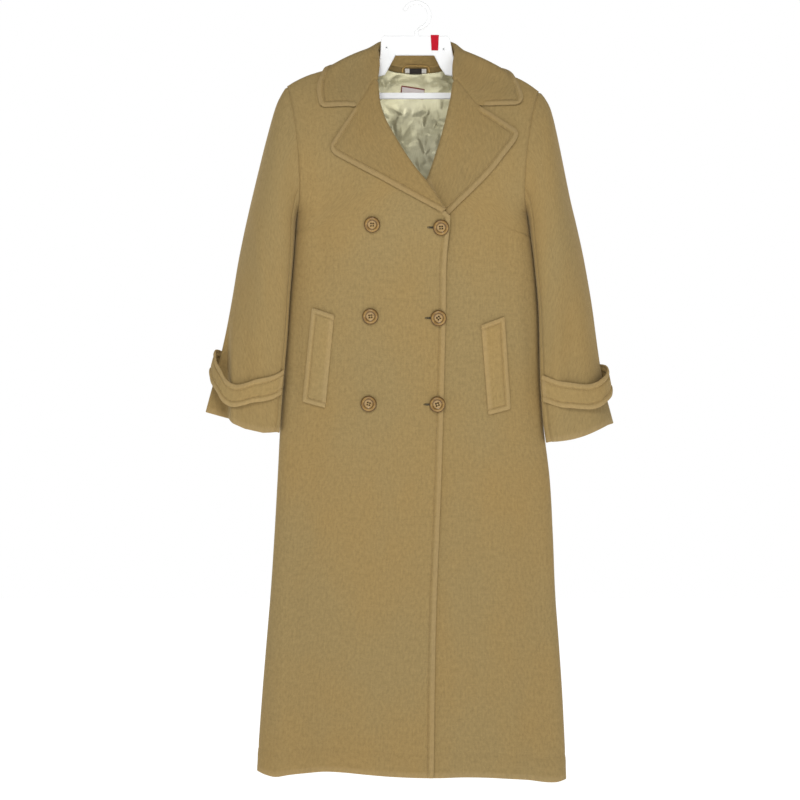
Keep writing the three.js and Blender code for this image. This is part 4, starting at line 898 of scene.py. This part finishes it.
def on_front(x, z, reach=12 * MM):
    """Where something that reaches this far rests on the right front at x and z, and the way that it faces."""
    points, turn = fronts["right"]
    under = np.hypot(points[..., 0] - x, points[..., 2] - z) < reach
    normal = normals_of(points, turn)[under].mean(axis=0)
    normal /= np.linalg.norm(normal)
    offsets = np.array([x, 0, z]) - points[under]
    depths = points[under][:, 1] - (normal[0] * offsets[:, 0] + normal[2] * offsets[:, 2]) / normal[1]
    return np.array([x, np.percentile(depths, 30), z]), normal


# Millimetres: a buttonhole's ends from the button's centre, half the width of its slit, and its stitches.
SLIT_FROM, SLIT_TO, SLIT_HALF = 3.0, -21.5, 0.75
SILK_PITCH, SILK_LENGTH = 0.55, 1.15


def work_buttonhole(name, centre):
    """A buttonhole: silk worked round a slit that runs from the button away from the right front's edge."""
    # Where each stitch starts, from the button's centre, and the way that it runs.
    outline = [(SLIT_FROM - k * SILK_PITCH, edge * SLIT_HALF, 0, edge) for edge in (-1, 1)
               for k in range(int((SLIT_FROM - SLIT_TO) / SILK_PITCH))]
    for angle in np.radians(np.arange(95, 270, 22)):
        x, z = math.cos(angle), math.sin(angle)
        outline.append((SLIT_TO + SLIT_HALF * x, SLIT_HALF * z, x, z))
    stitches = []
    for x, z, out_x, out_z in outline:
        ends = []
        for far in (0.0, SILK_LENGTH):
            spot, normal = on_front(centre.x + (x + out_x * far) * MM, centre.z + (z + out_z * far) * MM)
            ends.append(spot + normal * (0.28 - 0.2 * far) * MM)
        stitches.append(bar_of_thread(*ends, normal, 0.3 * MM, 0.32 * MM))
    # The slit itself is a dark line between the two rows of silk.
    ends = [on_front(centre.x + x * MM, centre.z)[0] + normal * 0.2 * MM for x in (SLIT_TO, SLIT_FROM)]
    slit = bar_of_thread(*ends, normal, 0.55 * MM, 0.05 * MM)
    mesh = net(name, *joined(stitches + [slit]))
    is_slit = np.zeros(len(mesh.polygons), np.int32)
    is_slit[-len(slit[1]):] = 1
    buttonhole = add_piece(name, mesh, buttonhole_silk, slit_shadow)
    buttonhole.data.polygons.foreach_set("material_index", is_slit)


SHANK = 0.8  # millimetres of thread between the cloth and the button
THREAD_REACH, THREAD_HEIGHT = 1.9, 2.2
horn = horn_resin()
button_thread = thread_finish("button_thread", colour(72, 50, 26), colour(50, 34, 16))
buttonhole_silk = thread_finish("buttonhole_silk", colour(98, 84, 44), colour(58, 48, 22))
slit_shadow = thread_finish("slit_shadow", colour(46, 38, 18), colour(34, 28, 12))
# How many degrees each button is turned on its thread.
button_spins = {"button_1_outer": 0, "button_2_outer": 8, "button_3_outer": -14, "button_1_edge": 4,
                "button_2_edge": 38, "button_3_edge": 20}
for node, spin in button_spins.items():
    centre = sum(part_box(node), Vector()) / 2
    place, up = on_front(centre.x, centre.z)
    place = Vector(place + up * SHANK * MM)
    turned = Vector(up).to_track_quat("Z", "Y").to_matrix() @ Matrix.Rotation(math.radians(spin), 3, "Z")
    mesh = button_mesh(f"coat_{node}")
    mesh.transform(Matrix.Translation(place) @ (turned * MM).to_4x4())
    button = add_piece(f"coat_{node}", mesh, horn)
    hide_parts(node)
    bars = []
    for y in (-THREAD_REACH, THREAD_REACH):
        ends = [np.array(place + turned @ Vector((x, y, THREAD_HEIGHT)) * MM)
                for x in (-THREAD_REACH, THREAD_REACH)]
        bars.append(bar_of_thread(*ends, np.array(up), 0.2 * MM, 0.3 * MM, 6))
    add_piece(f"{node}_thread", net(f"{node}_thread", *joined(bars)), button_thread)
    if node.endswith("edge"):
        work_buttonhole(f"buttonhole_{node[7]}", centre)

# ---------------------------------------------------------------- lining
# Champagne satin, cut a little fuller than the back and eased into the neck seam, so that its top is crumpled
# from wear and folding. It is a thin slippery cloth that shines in streaks.
SATIN_WALL = 1 * MM
CRUMPLED_FROM = -0.44  # height, in metres, below which it hangs smooth


def crumple(points, rng, across, along, amount):
    """Heights of a crumpled sheet: flat facets between scattered spots, with sharp folds where they meet.

    across and along are the mean distances between the spots, and amount is how far they stand up or sink.
    """
    low, high = points.min(axis=(0, 1)), points.max(axis=(0, 1))
    low[2] = CRUMPLED_FROM
    spots = []
    for j in range(int((high[2] - low[2]) / along) + 3):
        for i in range(int((high[0] - low[0]) / across) + 3):
            x = low[0] + (i - 1 + rng.uniform(0, 1)) * across
            spots.append((x, low[2] + (j - 1 + rng.uniform(0, 1)) * along))
    level = np.array([rng.uniform(-amount, amount) for _ in spots])
    corners, _, facets, *_ = delaunay_2d_cdt([Vector(spot) for spot in spots], [], [], 0, 1e-6, True)
    heights = np.zeros(points.shape[:2])
    place = points[..., [0, 2]]
    spots = np.array([tuple(corner) for corner in corners])
    for a, b, c in facets:
        origin, first, second = spots[a], spots[b] - spots[a], spots[c] - spots[a]
        twice = first[0] * second[1] - first[1] * second[0]
        if abs(twice) < 1e-12:
            continue
        off = place - origin
        u = (off[..., 0] * second[1] - off[..., 1] * second[0]) / twice
        v = (first[0] * off[..., 1] - first[1] * off[..., 0]) / twice
        inside = (u >= 0) & (v >= 0) & (u + v <= 1)
        facet = level[a] + (level[b] - level[a]) * u + (level[c] - level[a]) * v
        heights[inside] = facet[inside]
    return heights


def champagne_satin():
    """Satin: long smooth floats that catch the light, over a greyer ground."""
    material, tree, shader = nodes_of("champagne_satin")
    streaks = noise(tree, on_cloth(tree, (900, 60)), 3, 0.6)
    cloud = noise(tree, on_cloth(tree, (14, 9)), 3)
    ground = mixed(tree, range_of(tree, cloud, 0.35, 0.65), colour(208, 202, 162), colour(226, 221, 186))
    body = toned(tree, ground, range_of(tree, streaks, 0.3, 0.7, 0.92, 1.06))
    tree.links.new(body, shader.inputs["Base Color"])
    emboss(tree, shader, streaks, 0.25, 0.1)
    set_surface(shader, {"Metallic": 0.45, "Roughness": 0.24, "Specular IOR Level": 0.8,
                         "Sheen Weight": 0.25, "Sheen Roughness": 0.3})
    return material


satin = champagne_satin()
lining_grid, lining_turn = cut_piece("lining_back", FRONT, DOWN, RIGHT, rows=16, wall=SATIN_WALL)
# Points lie closest in the part that shows at the neck: the middle of its width and the top of its height.
fine_across = np.concatenate([np.linspace(0, 0.24, 14, endpoint=False),
                              np.linspace(0.24, 0.76, 112, endpoint=False), np.linspace(0.76, 1, 15)])
LOWER_ROWS = 70
fine_up = np.concatenate([np.linspace(0, 0.76, LOWER_ROWS, endpoint=False), np.linspace(0.76, 1, 130)])
lining_points = lay_out(lining_grid, (fine_across, 0 * fine_across), (fine_up, 0 * fine_up))
rng = random.Random(41)
upper = lining_points[LOWER_ROWS:]
heights = np.zeros(lining_points.shape[:2])
# Creases across and along in metres, and their height in millimetres: large, middling and fine.
for across, along, amount in ((0.026, 0.052, 1.2), (0.012, 0.019, 0.9), (0.0072, 0.0095, 0.5)):
    heights[LOWER_ROWS:] += crumple(upper, rng, across, along, amount)
x_of, z_of = lining_points[..., 0] / MM, lining_points[..., 2] / MM
shown = ramp(z_of, -430, -330) * (1 - 0.7 * ramp(np.abs(x_of), 90, 150))
# It lies flat where the labels are sewn on.
at_neck_label = bump(np.hypot((x_of + 7) / 1.5, z_of + 145), 17)
at_size_label = bump(np.hypot((x_of + 1) / 2.2, z_of + 108), 9)
calm = np.maximum(at_neck_label, at_size_label)
heights = np.clip(heights + 1.6, -0.6, 6.5) * shown * (1 - 0.9 * np.clip(calm * 1.3, 0, 1))
lining_points = lining_points + normals_of(lining_points, lining_turn) * (heights * MM)[..., None]
lining = sew_shell("coat_lining_back", lining_points, lining_turn, satin, wall=SATIN_WALL,
                   free=(False, False, True, False))
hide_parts("lining_back")

# ---------------------------------------------------------------- labels
# Woven ribbons sewn inside the back of the neck: a bare pale one with a dark red border, a narrow white one
# for the size, and a black tab folded over it. Both ends of each are caught down.
RIBBON_WALL = 0.8 * MM


def ribbon_finish(name, ground, border=None, width=0, height=0):
    """Fine woven ribbon with a rib across it, and a border just inside its edges where it has one."""
    material, tree, shader = nodes_of(name)
    flat = add_node(tree, "ShaderNodeUVMap", uv_map="cloth").outputs["UV"]
    weave = add_node(tree, "ShaderNodeTexWave", {"Vector": on_cloth(tree, (1, 1), flat), "Scale": 900.0},
                     bands_direction="Y").outputs["Fac"]
    body = toned(tree, ground, range_of(tree, weave, 0, 1, 0.93, 1.03))
    if border:
        split = add_node(tree, "ShaderNodeSeparateXYZ", {"Vector": flat})
        from_sides = []
        for axis, size in (("X", width), ("Y", height)):
            off_middle = maths(tree, "ABSOLUTE", maths(tree, "SUBTRACT", split.outputs[axis], size / 2))
            from_sides.append(maths(tree, "SUBTRACT", size / 2, off_middle))
        inner = maths(tree, "MINIMUM", *from_sides)
        body = mixed(tree, range_of(tree, inner, 1.3 * MM, 1.6 * MM, 1, 0), body, border)
    tree.links.new(body, shader.inputs["Base Color"])
    emboss(tree, shader, weave, 0.4, 0.15)
    set_surface(shader, {"Roughness": 0.7, "Sheen Weight": 0.15})
    return material


def label(node, width, height, finish, slot, lift, bow, turned_in=0.0):
    """A ribbon that bows off the lining between its ends.

    lift and bow are in millimetres. turned_in is how much of its height is hidden in the seam, and is not
    used.
    """
    grid, turn = cut_piece(node, FRONT, DOWN, RIGHT, rows=2, wall=RIBBON_WALL)
    share = np.linspace(0, 1, 25)
    knots = np.linspace(0, 1, grid.shape[1])
    low, high = (np.stack([np.interp(share, knots, row[:, axis]) for axis in range(3)], 1) for row in grid)
    rise = np.linspace(0, 1, 13)[:, None, None]
    points = low * (1 - rise) + high * rise
    wave = bow * np.sin(math.pi * share)[None, :] * (0.6 + 0.4 * np.sin(math.pi * rise[:, :, 0]))
    points[..., 1] -= (lift + wave) * MM
    piece = sew_shell(f"coat_{node}", points, turn, finish, wall=RIBBON_WALL)
    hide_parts(node)


NECK_LABEL = (0.0405, 0.0178)
pale_ribbon = ribbon_finish("pale_ribbon", colour(244, 232, 230), colour(132, 44, 42), *NECK_LABEL)
white_ribbon = ribbon_finish("white_ribbon", colour(226, 222, 214))
black_ribbon = ribbon_finish("black_ribbon", colour(38, 30, 24))
label("neck_label", *NECK_LABEL, pale_ribbon, "woven_label", lift=0.3, bow=0.5)
label("size_label", 0.037, 0.0072, white_ribbon, "woven_label", lift=0.2, bow=0.5, turned_in=0.004)
label("size_tab", 0.021, 0.0088, black_ribbon, "label_tab", lift=0.3, bow=0.6, turned_in=0.003)

# ---------------------------------------------------------------- hanging loop
# A loop of golden satin cord, two strands twisted together. Both of its ends are caught in the neck seam above
# the labels, and it hangs slack against the lining.
CORD_THICKNESS = 3.2 * MM
CORD_SIDES, CORD_POINTS = 20, 181
TWIST_LENGTH = 4.4 * MM  # length of cord for one full turn of its strands
# x and z in millimetres, from its right end over the top to its left end.
loop_route = ((-24, -114), (-23.5, -108.5), (-19, -103.5), (-8, -102.6), (8, -102.8), (18.5, -104),
              (21.6, -109), (22, -114.5))


def along_route(route, count):
    """Evenly spaced points on a smooth curve through the route's points."""
    spans = np.linalg.norm(np.diff(route, axis=0), axis=1)
    knots = np.concatenate([[0], np.cumsum(spans)])
    fine = np.linspace(0, knots[-1], 600)
    near, weights = spline_weights(knots, fine)
    curve = (route[near] * weights[..., None]).sum(axis=0)
    run = np.concatenate([[0], np.cumsum(np.linalg.norm(np.diff(curve, axis=0), axis=1))])
    at = np.linspace(0, run[-1], count)
    return np.stack([np.interp(at, run, curve[:, axis]) for axis in range(3)], 1), run[-1]


def cord_satin():
    """Golden rayon: bright threads along each strand, and painted shade where the strands turn into each
    other.
    """
    material, tree, shader = nodes_of("golden_cord")
    flat = add_node(tree, "ShaderNodeUVMap", uv_map="cloth").outputs["UV"]
    threads = noise(tree, on_cloth(tree, (300, 4000), flat), 2)
    # Painted shade, darker where the strands turn into each other.
    fold = add_node(tree, "ShaderNodeAttribute", attribute_name="strand_shade").outputs["Fac"]
    body = mixed(tree, range_of(tree, threads, 0.35, 0.65), colour(196, 154, 76), colour(224, 188, 112))
    tree.links.new(mixed(tree, fold, body, colour(112, 78, 30)), shader.inputs["Base Color"])
    set_surface(shader, {"Roughness": 0.4, "Sheen Weight": 0.3})
    return material


def tube_faces(rings, sides):
    """The faces of a tube between its rings of corners."""
    faces = []
    for start in range(0, (rings - 1) * sides, sides):
        for k in range(sides):
            a, b = start + k, start + (k + 1) % sides
            faces.append((a, b, b + sides, a + sides))
    return faces


surface = lining_grid.reshape(-1, 3)
route = []
for x, z in loop_route:
    near = np.hypot(surface[:, 0] - x * MM, surface[:, 2] - z * MM).argmin()
    route.append((x * MM, surface[near, 1] - 1.8 * MM, z * MM))
loop_path, loop_length = along_route(np.array(route), CORD_POINTS)
ways = np.gradient(loop_path, axis=0)
ways /= np.linalg.norm(ways, axis=1, keepdims=True)
aside = np.cross(ways, FRONT)
aside /= np.linalg.norm(aside, axis=1, keepdims=True)
outward = np.cross(aside, ways)
vertices, strand_shade = [], []
for i, (middle, a, b) in enumerate(zip(loop_path, aside, outward)):
    twist = 2 * math.pi * loop_length / TWIST_LENGTH * i / (CORD_POINTS - 1)
    for k in range(CORD_SIDES):
        angle = 2 * math.pi * k / CORD_SIDES
        # The section is pinched between the two strands, which lie side by side.
        waist = abs(math.cos(angle - twist))
        radius = CORD_THICKNESS / 2 * (0.72 + 0.28 * waist**0.7)
        vertices.append(middle + (a * math.cos(angle) + b * math.sin(angle)) * radius)
        # Painted shade in the groove where the two strands meet.
        strand_shade.append(1 - ramp(waist, 0.0, 0.55))
faces = tube_faces(CORD_POINTS, CORD_SIDES)
faces += [tuple(reversed(range(CORD_SIDES))), tuple(range(len(vertices) - CORD_SIDES, len(vertices)))]
mesh = net("coat_hang_loop", vertices, faces)
mesh.attributes.new("strand_shade", "FLOAT", "POINT").data.foreach_set("value", np.array(strand_shade, np.float32))
cord_uv = mesh.uv_layers.new(name="cloth")
for loop in mesh.loops:
    i, k = divmod(loop.vertex_index, CORD_SIDES)
    round_cord = k / CORD_SIDES * math.pi * CORD_THICKNESS
    cord_uv.data[loop.index].uv = (i / (CORD_POINTS - 1) * loop_length, round_cord)
hang_loop = add_piece("coat_hang_loop", mesh, cord_satin())
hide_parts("hang_loop")

# ---------------------------------------------------------------- hanger
# One white moulding: hook, plate, arms under the shoulders and a bar for trousers. All its edges are rounded,
# and two shallow rings on the plate are left by the pins that push it out of its mould.


def moulded(name, node, radius, finish):
    """A piece with the node's own shape, all its edges rounded."""
    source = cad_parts[node]
    mesh = bmesh.new()
    mesh.from_mesh(source.data)
    bmesh.ops.transform(mesh, matrix=source.matrix_world, verts=mesh.verts)
    bmesh.ops.remove_doubles(mesh, verts=mesh.verts, dist=1e-6)
    data = bpy.data.meshes.new(name)
    mesh.to_mesh(data)
    mesh.free()
    piece = add_piece(name, data, finish)
    rounding = piece.modifiers.new("rounded_edges", "BEVEL")
    rounding.width, rounding.segments, rounding.limit_method = radius, 3, "ANGLE"
    rounding.angle_limit = math.radians(24)
    piece.modifiers.new("even_shading", "WEIGHTED_NORMAL")
    return piece


def moulded_plastic(name, paint, roughness, shine):
    """Moulded polystyrene: a faint flow pattern under an eggshell surface."""
    material, tree, shader = nodes_of(name)
    place = add_node(tree, "ShaderNodeTexCoord").outputs["Object"]
    flow = noise(tree, place, 3, 0.5, 26)
    dark = tuple(part * 0.95 for part in paint[:3]) + (1,)
    tree.links.new(mixed(tree, range_of(tree, flow, 0.35, 0.65), dark, paint), shader.inputs["Base Color"])
    emboss(tree, shader, noise(tree, place, 2, 0.5, 900), 0.12, 0.1)
    set_surface(shader, {"Roughness": roughness, "Specular IOR Level": shine})
    return material


white_plastic = moulded_plastic("white_plastic", colour(246, 247, 247), 0.35, 0.5)
hanger = moulded("coat_hanger", "hanger", 0.7 * MM, white_plastic)
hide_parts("hanger")
PLATE_FACE = -3.95  # y of the plate's front face, in millimetres
# Radius and height of the ring's section, from its outer foot to its middle.
ring_section = ((3.6, 0), (3.3, 0.35), (2.9, 0.45), (2.5, 0.35), (2.2, 0.1), (1.2, 0.05), (0.01, 0.05))
for side, x, z in (("right", -51, -73.5), ("left", 46, -76)):
    name = f"mould_ring_{side}"
    vertices = [((x + across) * MM, (PLATE_FACE - height) * MM, (z + up) * MM)
                for radius, height in ring_section for across, up in circle(radius, 32)]
    add_piece(name, net(name, vertices, tube_faces(len(ring_section), 32)), white_plastic)

# ---------------------------------------------------------------- hanger marker
# A plain red size clip of thin moulded plastic. It is pushed over the top edge of the plate, which it grips,
# and it narrows downwards.
red_plastic = moulded_plastic("red_plastic", colour(186, 8, 34), 0.42, 0.15)
marker = moulded("coat_hanger_marker", "hanger_marker", 0.35 * MM, red_plastic)
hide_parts("hanger_marker")

# ---------------------------------------------------------------- studio
# A pale floor below the hem and even light all round, with one broad soft light above and in front of the coat
# and a weaker one below it to the side. A long lens looks at it square on.
FLOOR_REACH = 14.0
FLOOR_DROP = 0.14  # how far it lies below the hem
floor_height = cad_box[0].z - FLOOR_DROP
corners = [(x * FLOOR_REACH, y * FLOOR_REACH, floor_height) for x, y in ((-1, -1), (1, -1), (1, 1), (-1, 1))]
floor_mesh = net("floor", corners, [(0, 1, 2, 3)])
floor = bpy.data.objects.new("floor", floor_mesh)
bpy.context.scene.collection.objects.link(floor)
floor_paint, _, floor_shader = nodes_of("pale_floor")
set_surface(floor_shader, {"Base Color": (0.9, 0.9, 0.9, 1), "Roughness": 0.8,
                           "Emission Color": (1, 1, 1, 1), "Emission Strength": 0.85})
floor_mesh.materials.append(floor_paint)

AROUND = 0.29  # strength of the even light, beside a white backdrop
world = bpy.data.worlds.new("even_light")
world.use_nodes = True
backdrop = world.node_tree.nodes["Background"]
backdrop.inputs["Color"].default_value = (1, 1, 1, 1)
seen = add_node(world.node_tree, "ShaderNodeLightPath").outputs["Is Camera Ray"]
world.node_tree.links.new(range_of(world.node_tree, seen, 0, 1, AROUND, 1.0), backdrop.inputs["Strength"])
bpy.context.scene.world = world
bpy.context.scene.view_settings.view_transform = "Standard"


def soft_light(name, place, target, size, power):
    """A square area light that faces the target."""
    data = bpy.data.lights.new(name, "AREA")
    data.size, data.energy = size, power
    lamp = bpy.data.objects.new(name, data)
    lamp.location = place
    lamp.rotation_euler = (Vector(target) - Vector(place)).to_track_quat("-Z", "Y").to_euler()
    bpy.context.scene.collection.objects.link(lamp)


LOOK_AT = Vector((-0.0281, 0, -0.6725))  # the middle of the view
soft_light("key", (-0.4, -2.8, 1.7), LOOK_AT, 1.4, 56)
soft_light("fill", (1.8, -3.2, -0.9), LOOK_AT, 2.0, 18)

LENS, SENSOR = 280, 36
FRAME_WIDTH = 1.360  # metres that the view takes in at the coat
camera_data = bpy.data.cameras.new("camera")
camera_data.lens, camera_data.sensor_width = LENS, SENSOR
camera_data.clip_end = 60
camera = bpy.data.objects.new("camera", camera_data)
camera.location = LOOK_AT + Vector((0, -FRAME_WIDTH * LENS / SENSOR, 0))
camera.rotation_euler = (math.radians(90), 0, 0)
bpy.context.scene.collection.objects.link(camera)
bpy.context.scene.camera = camera
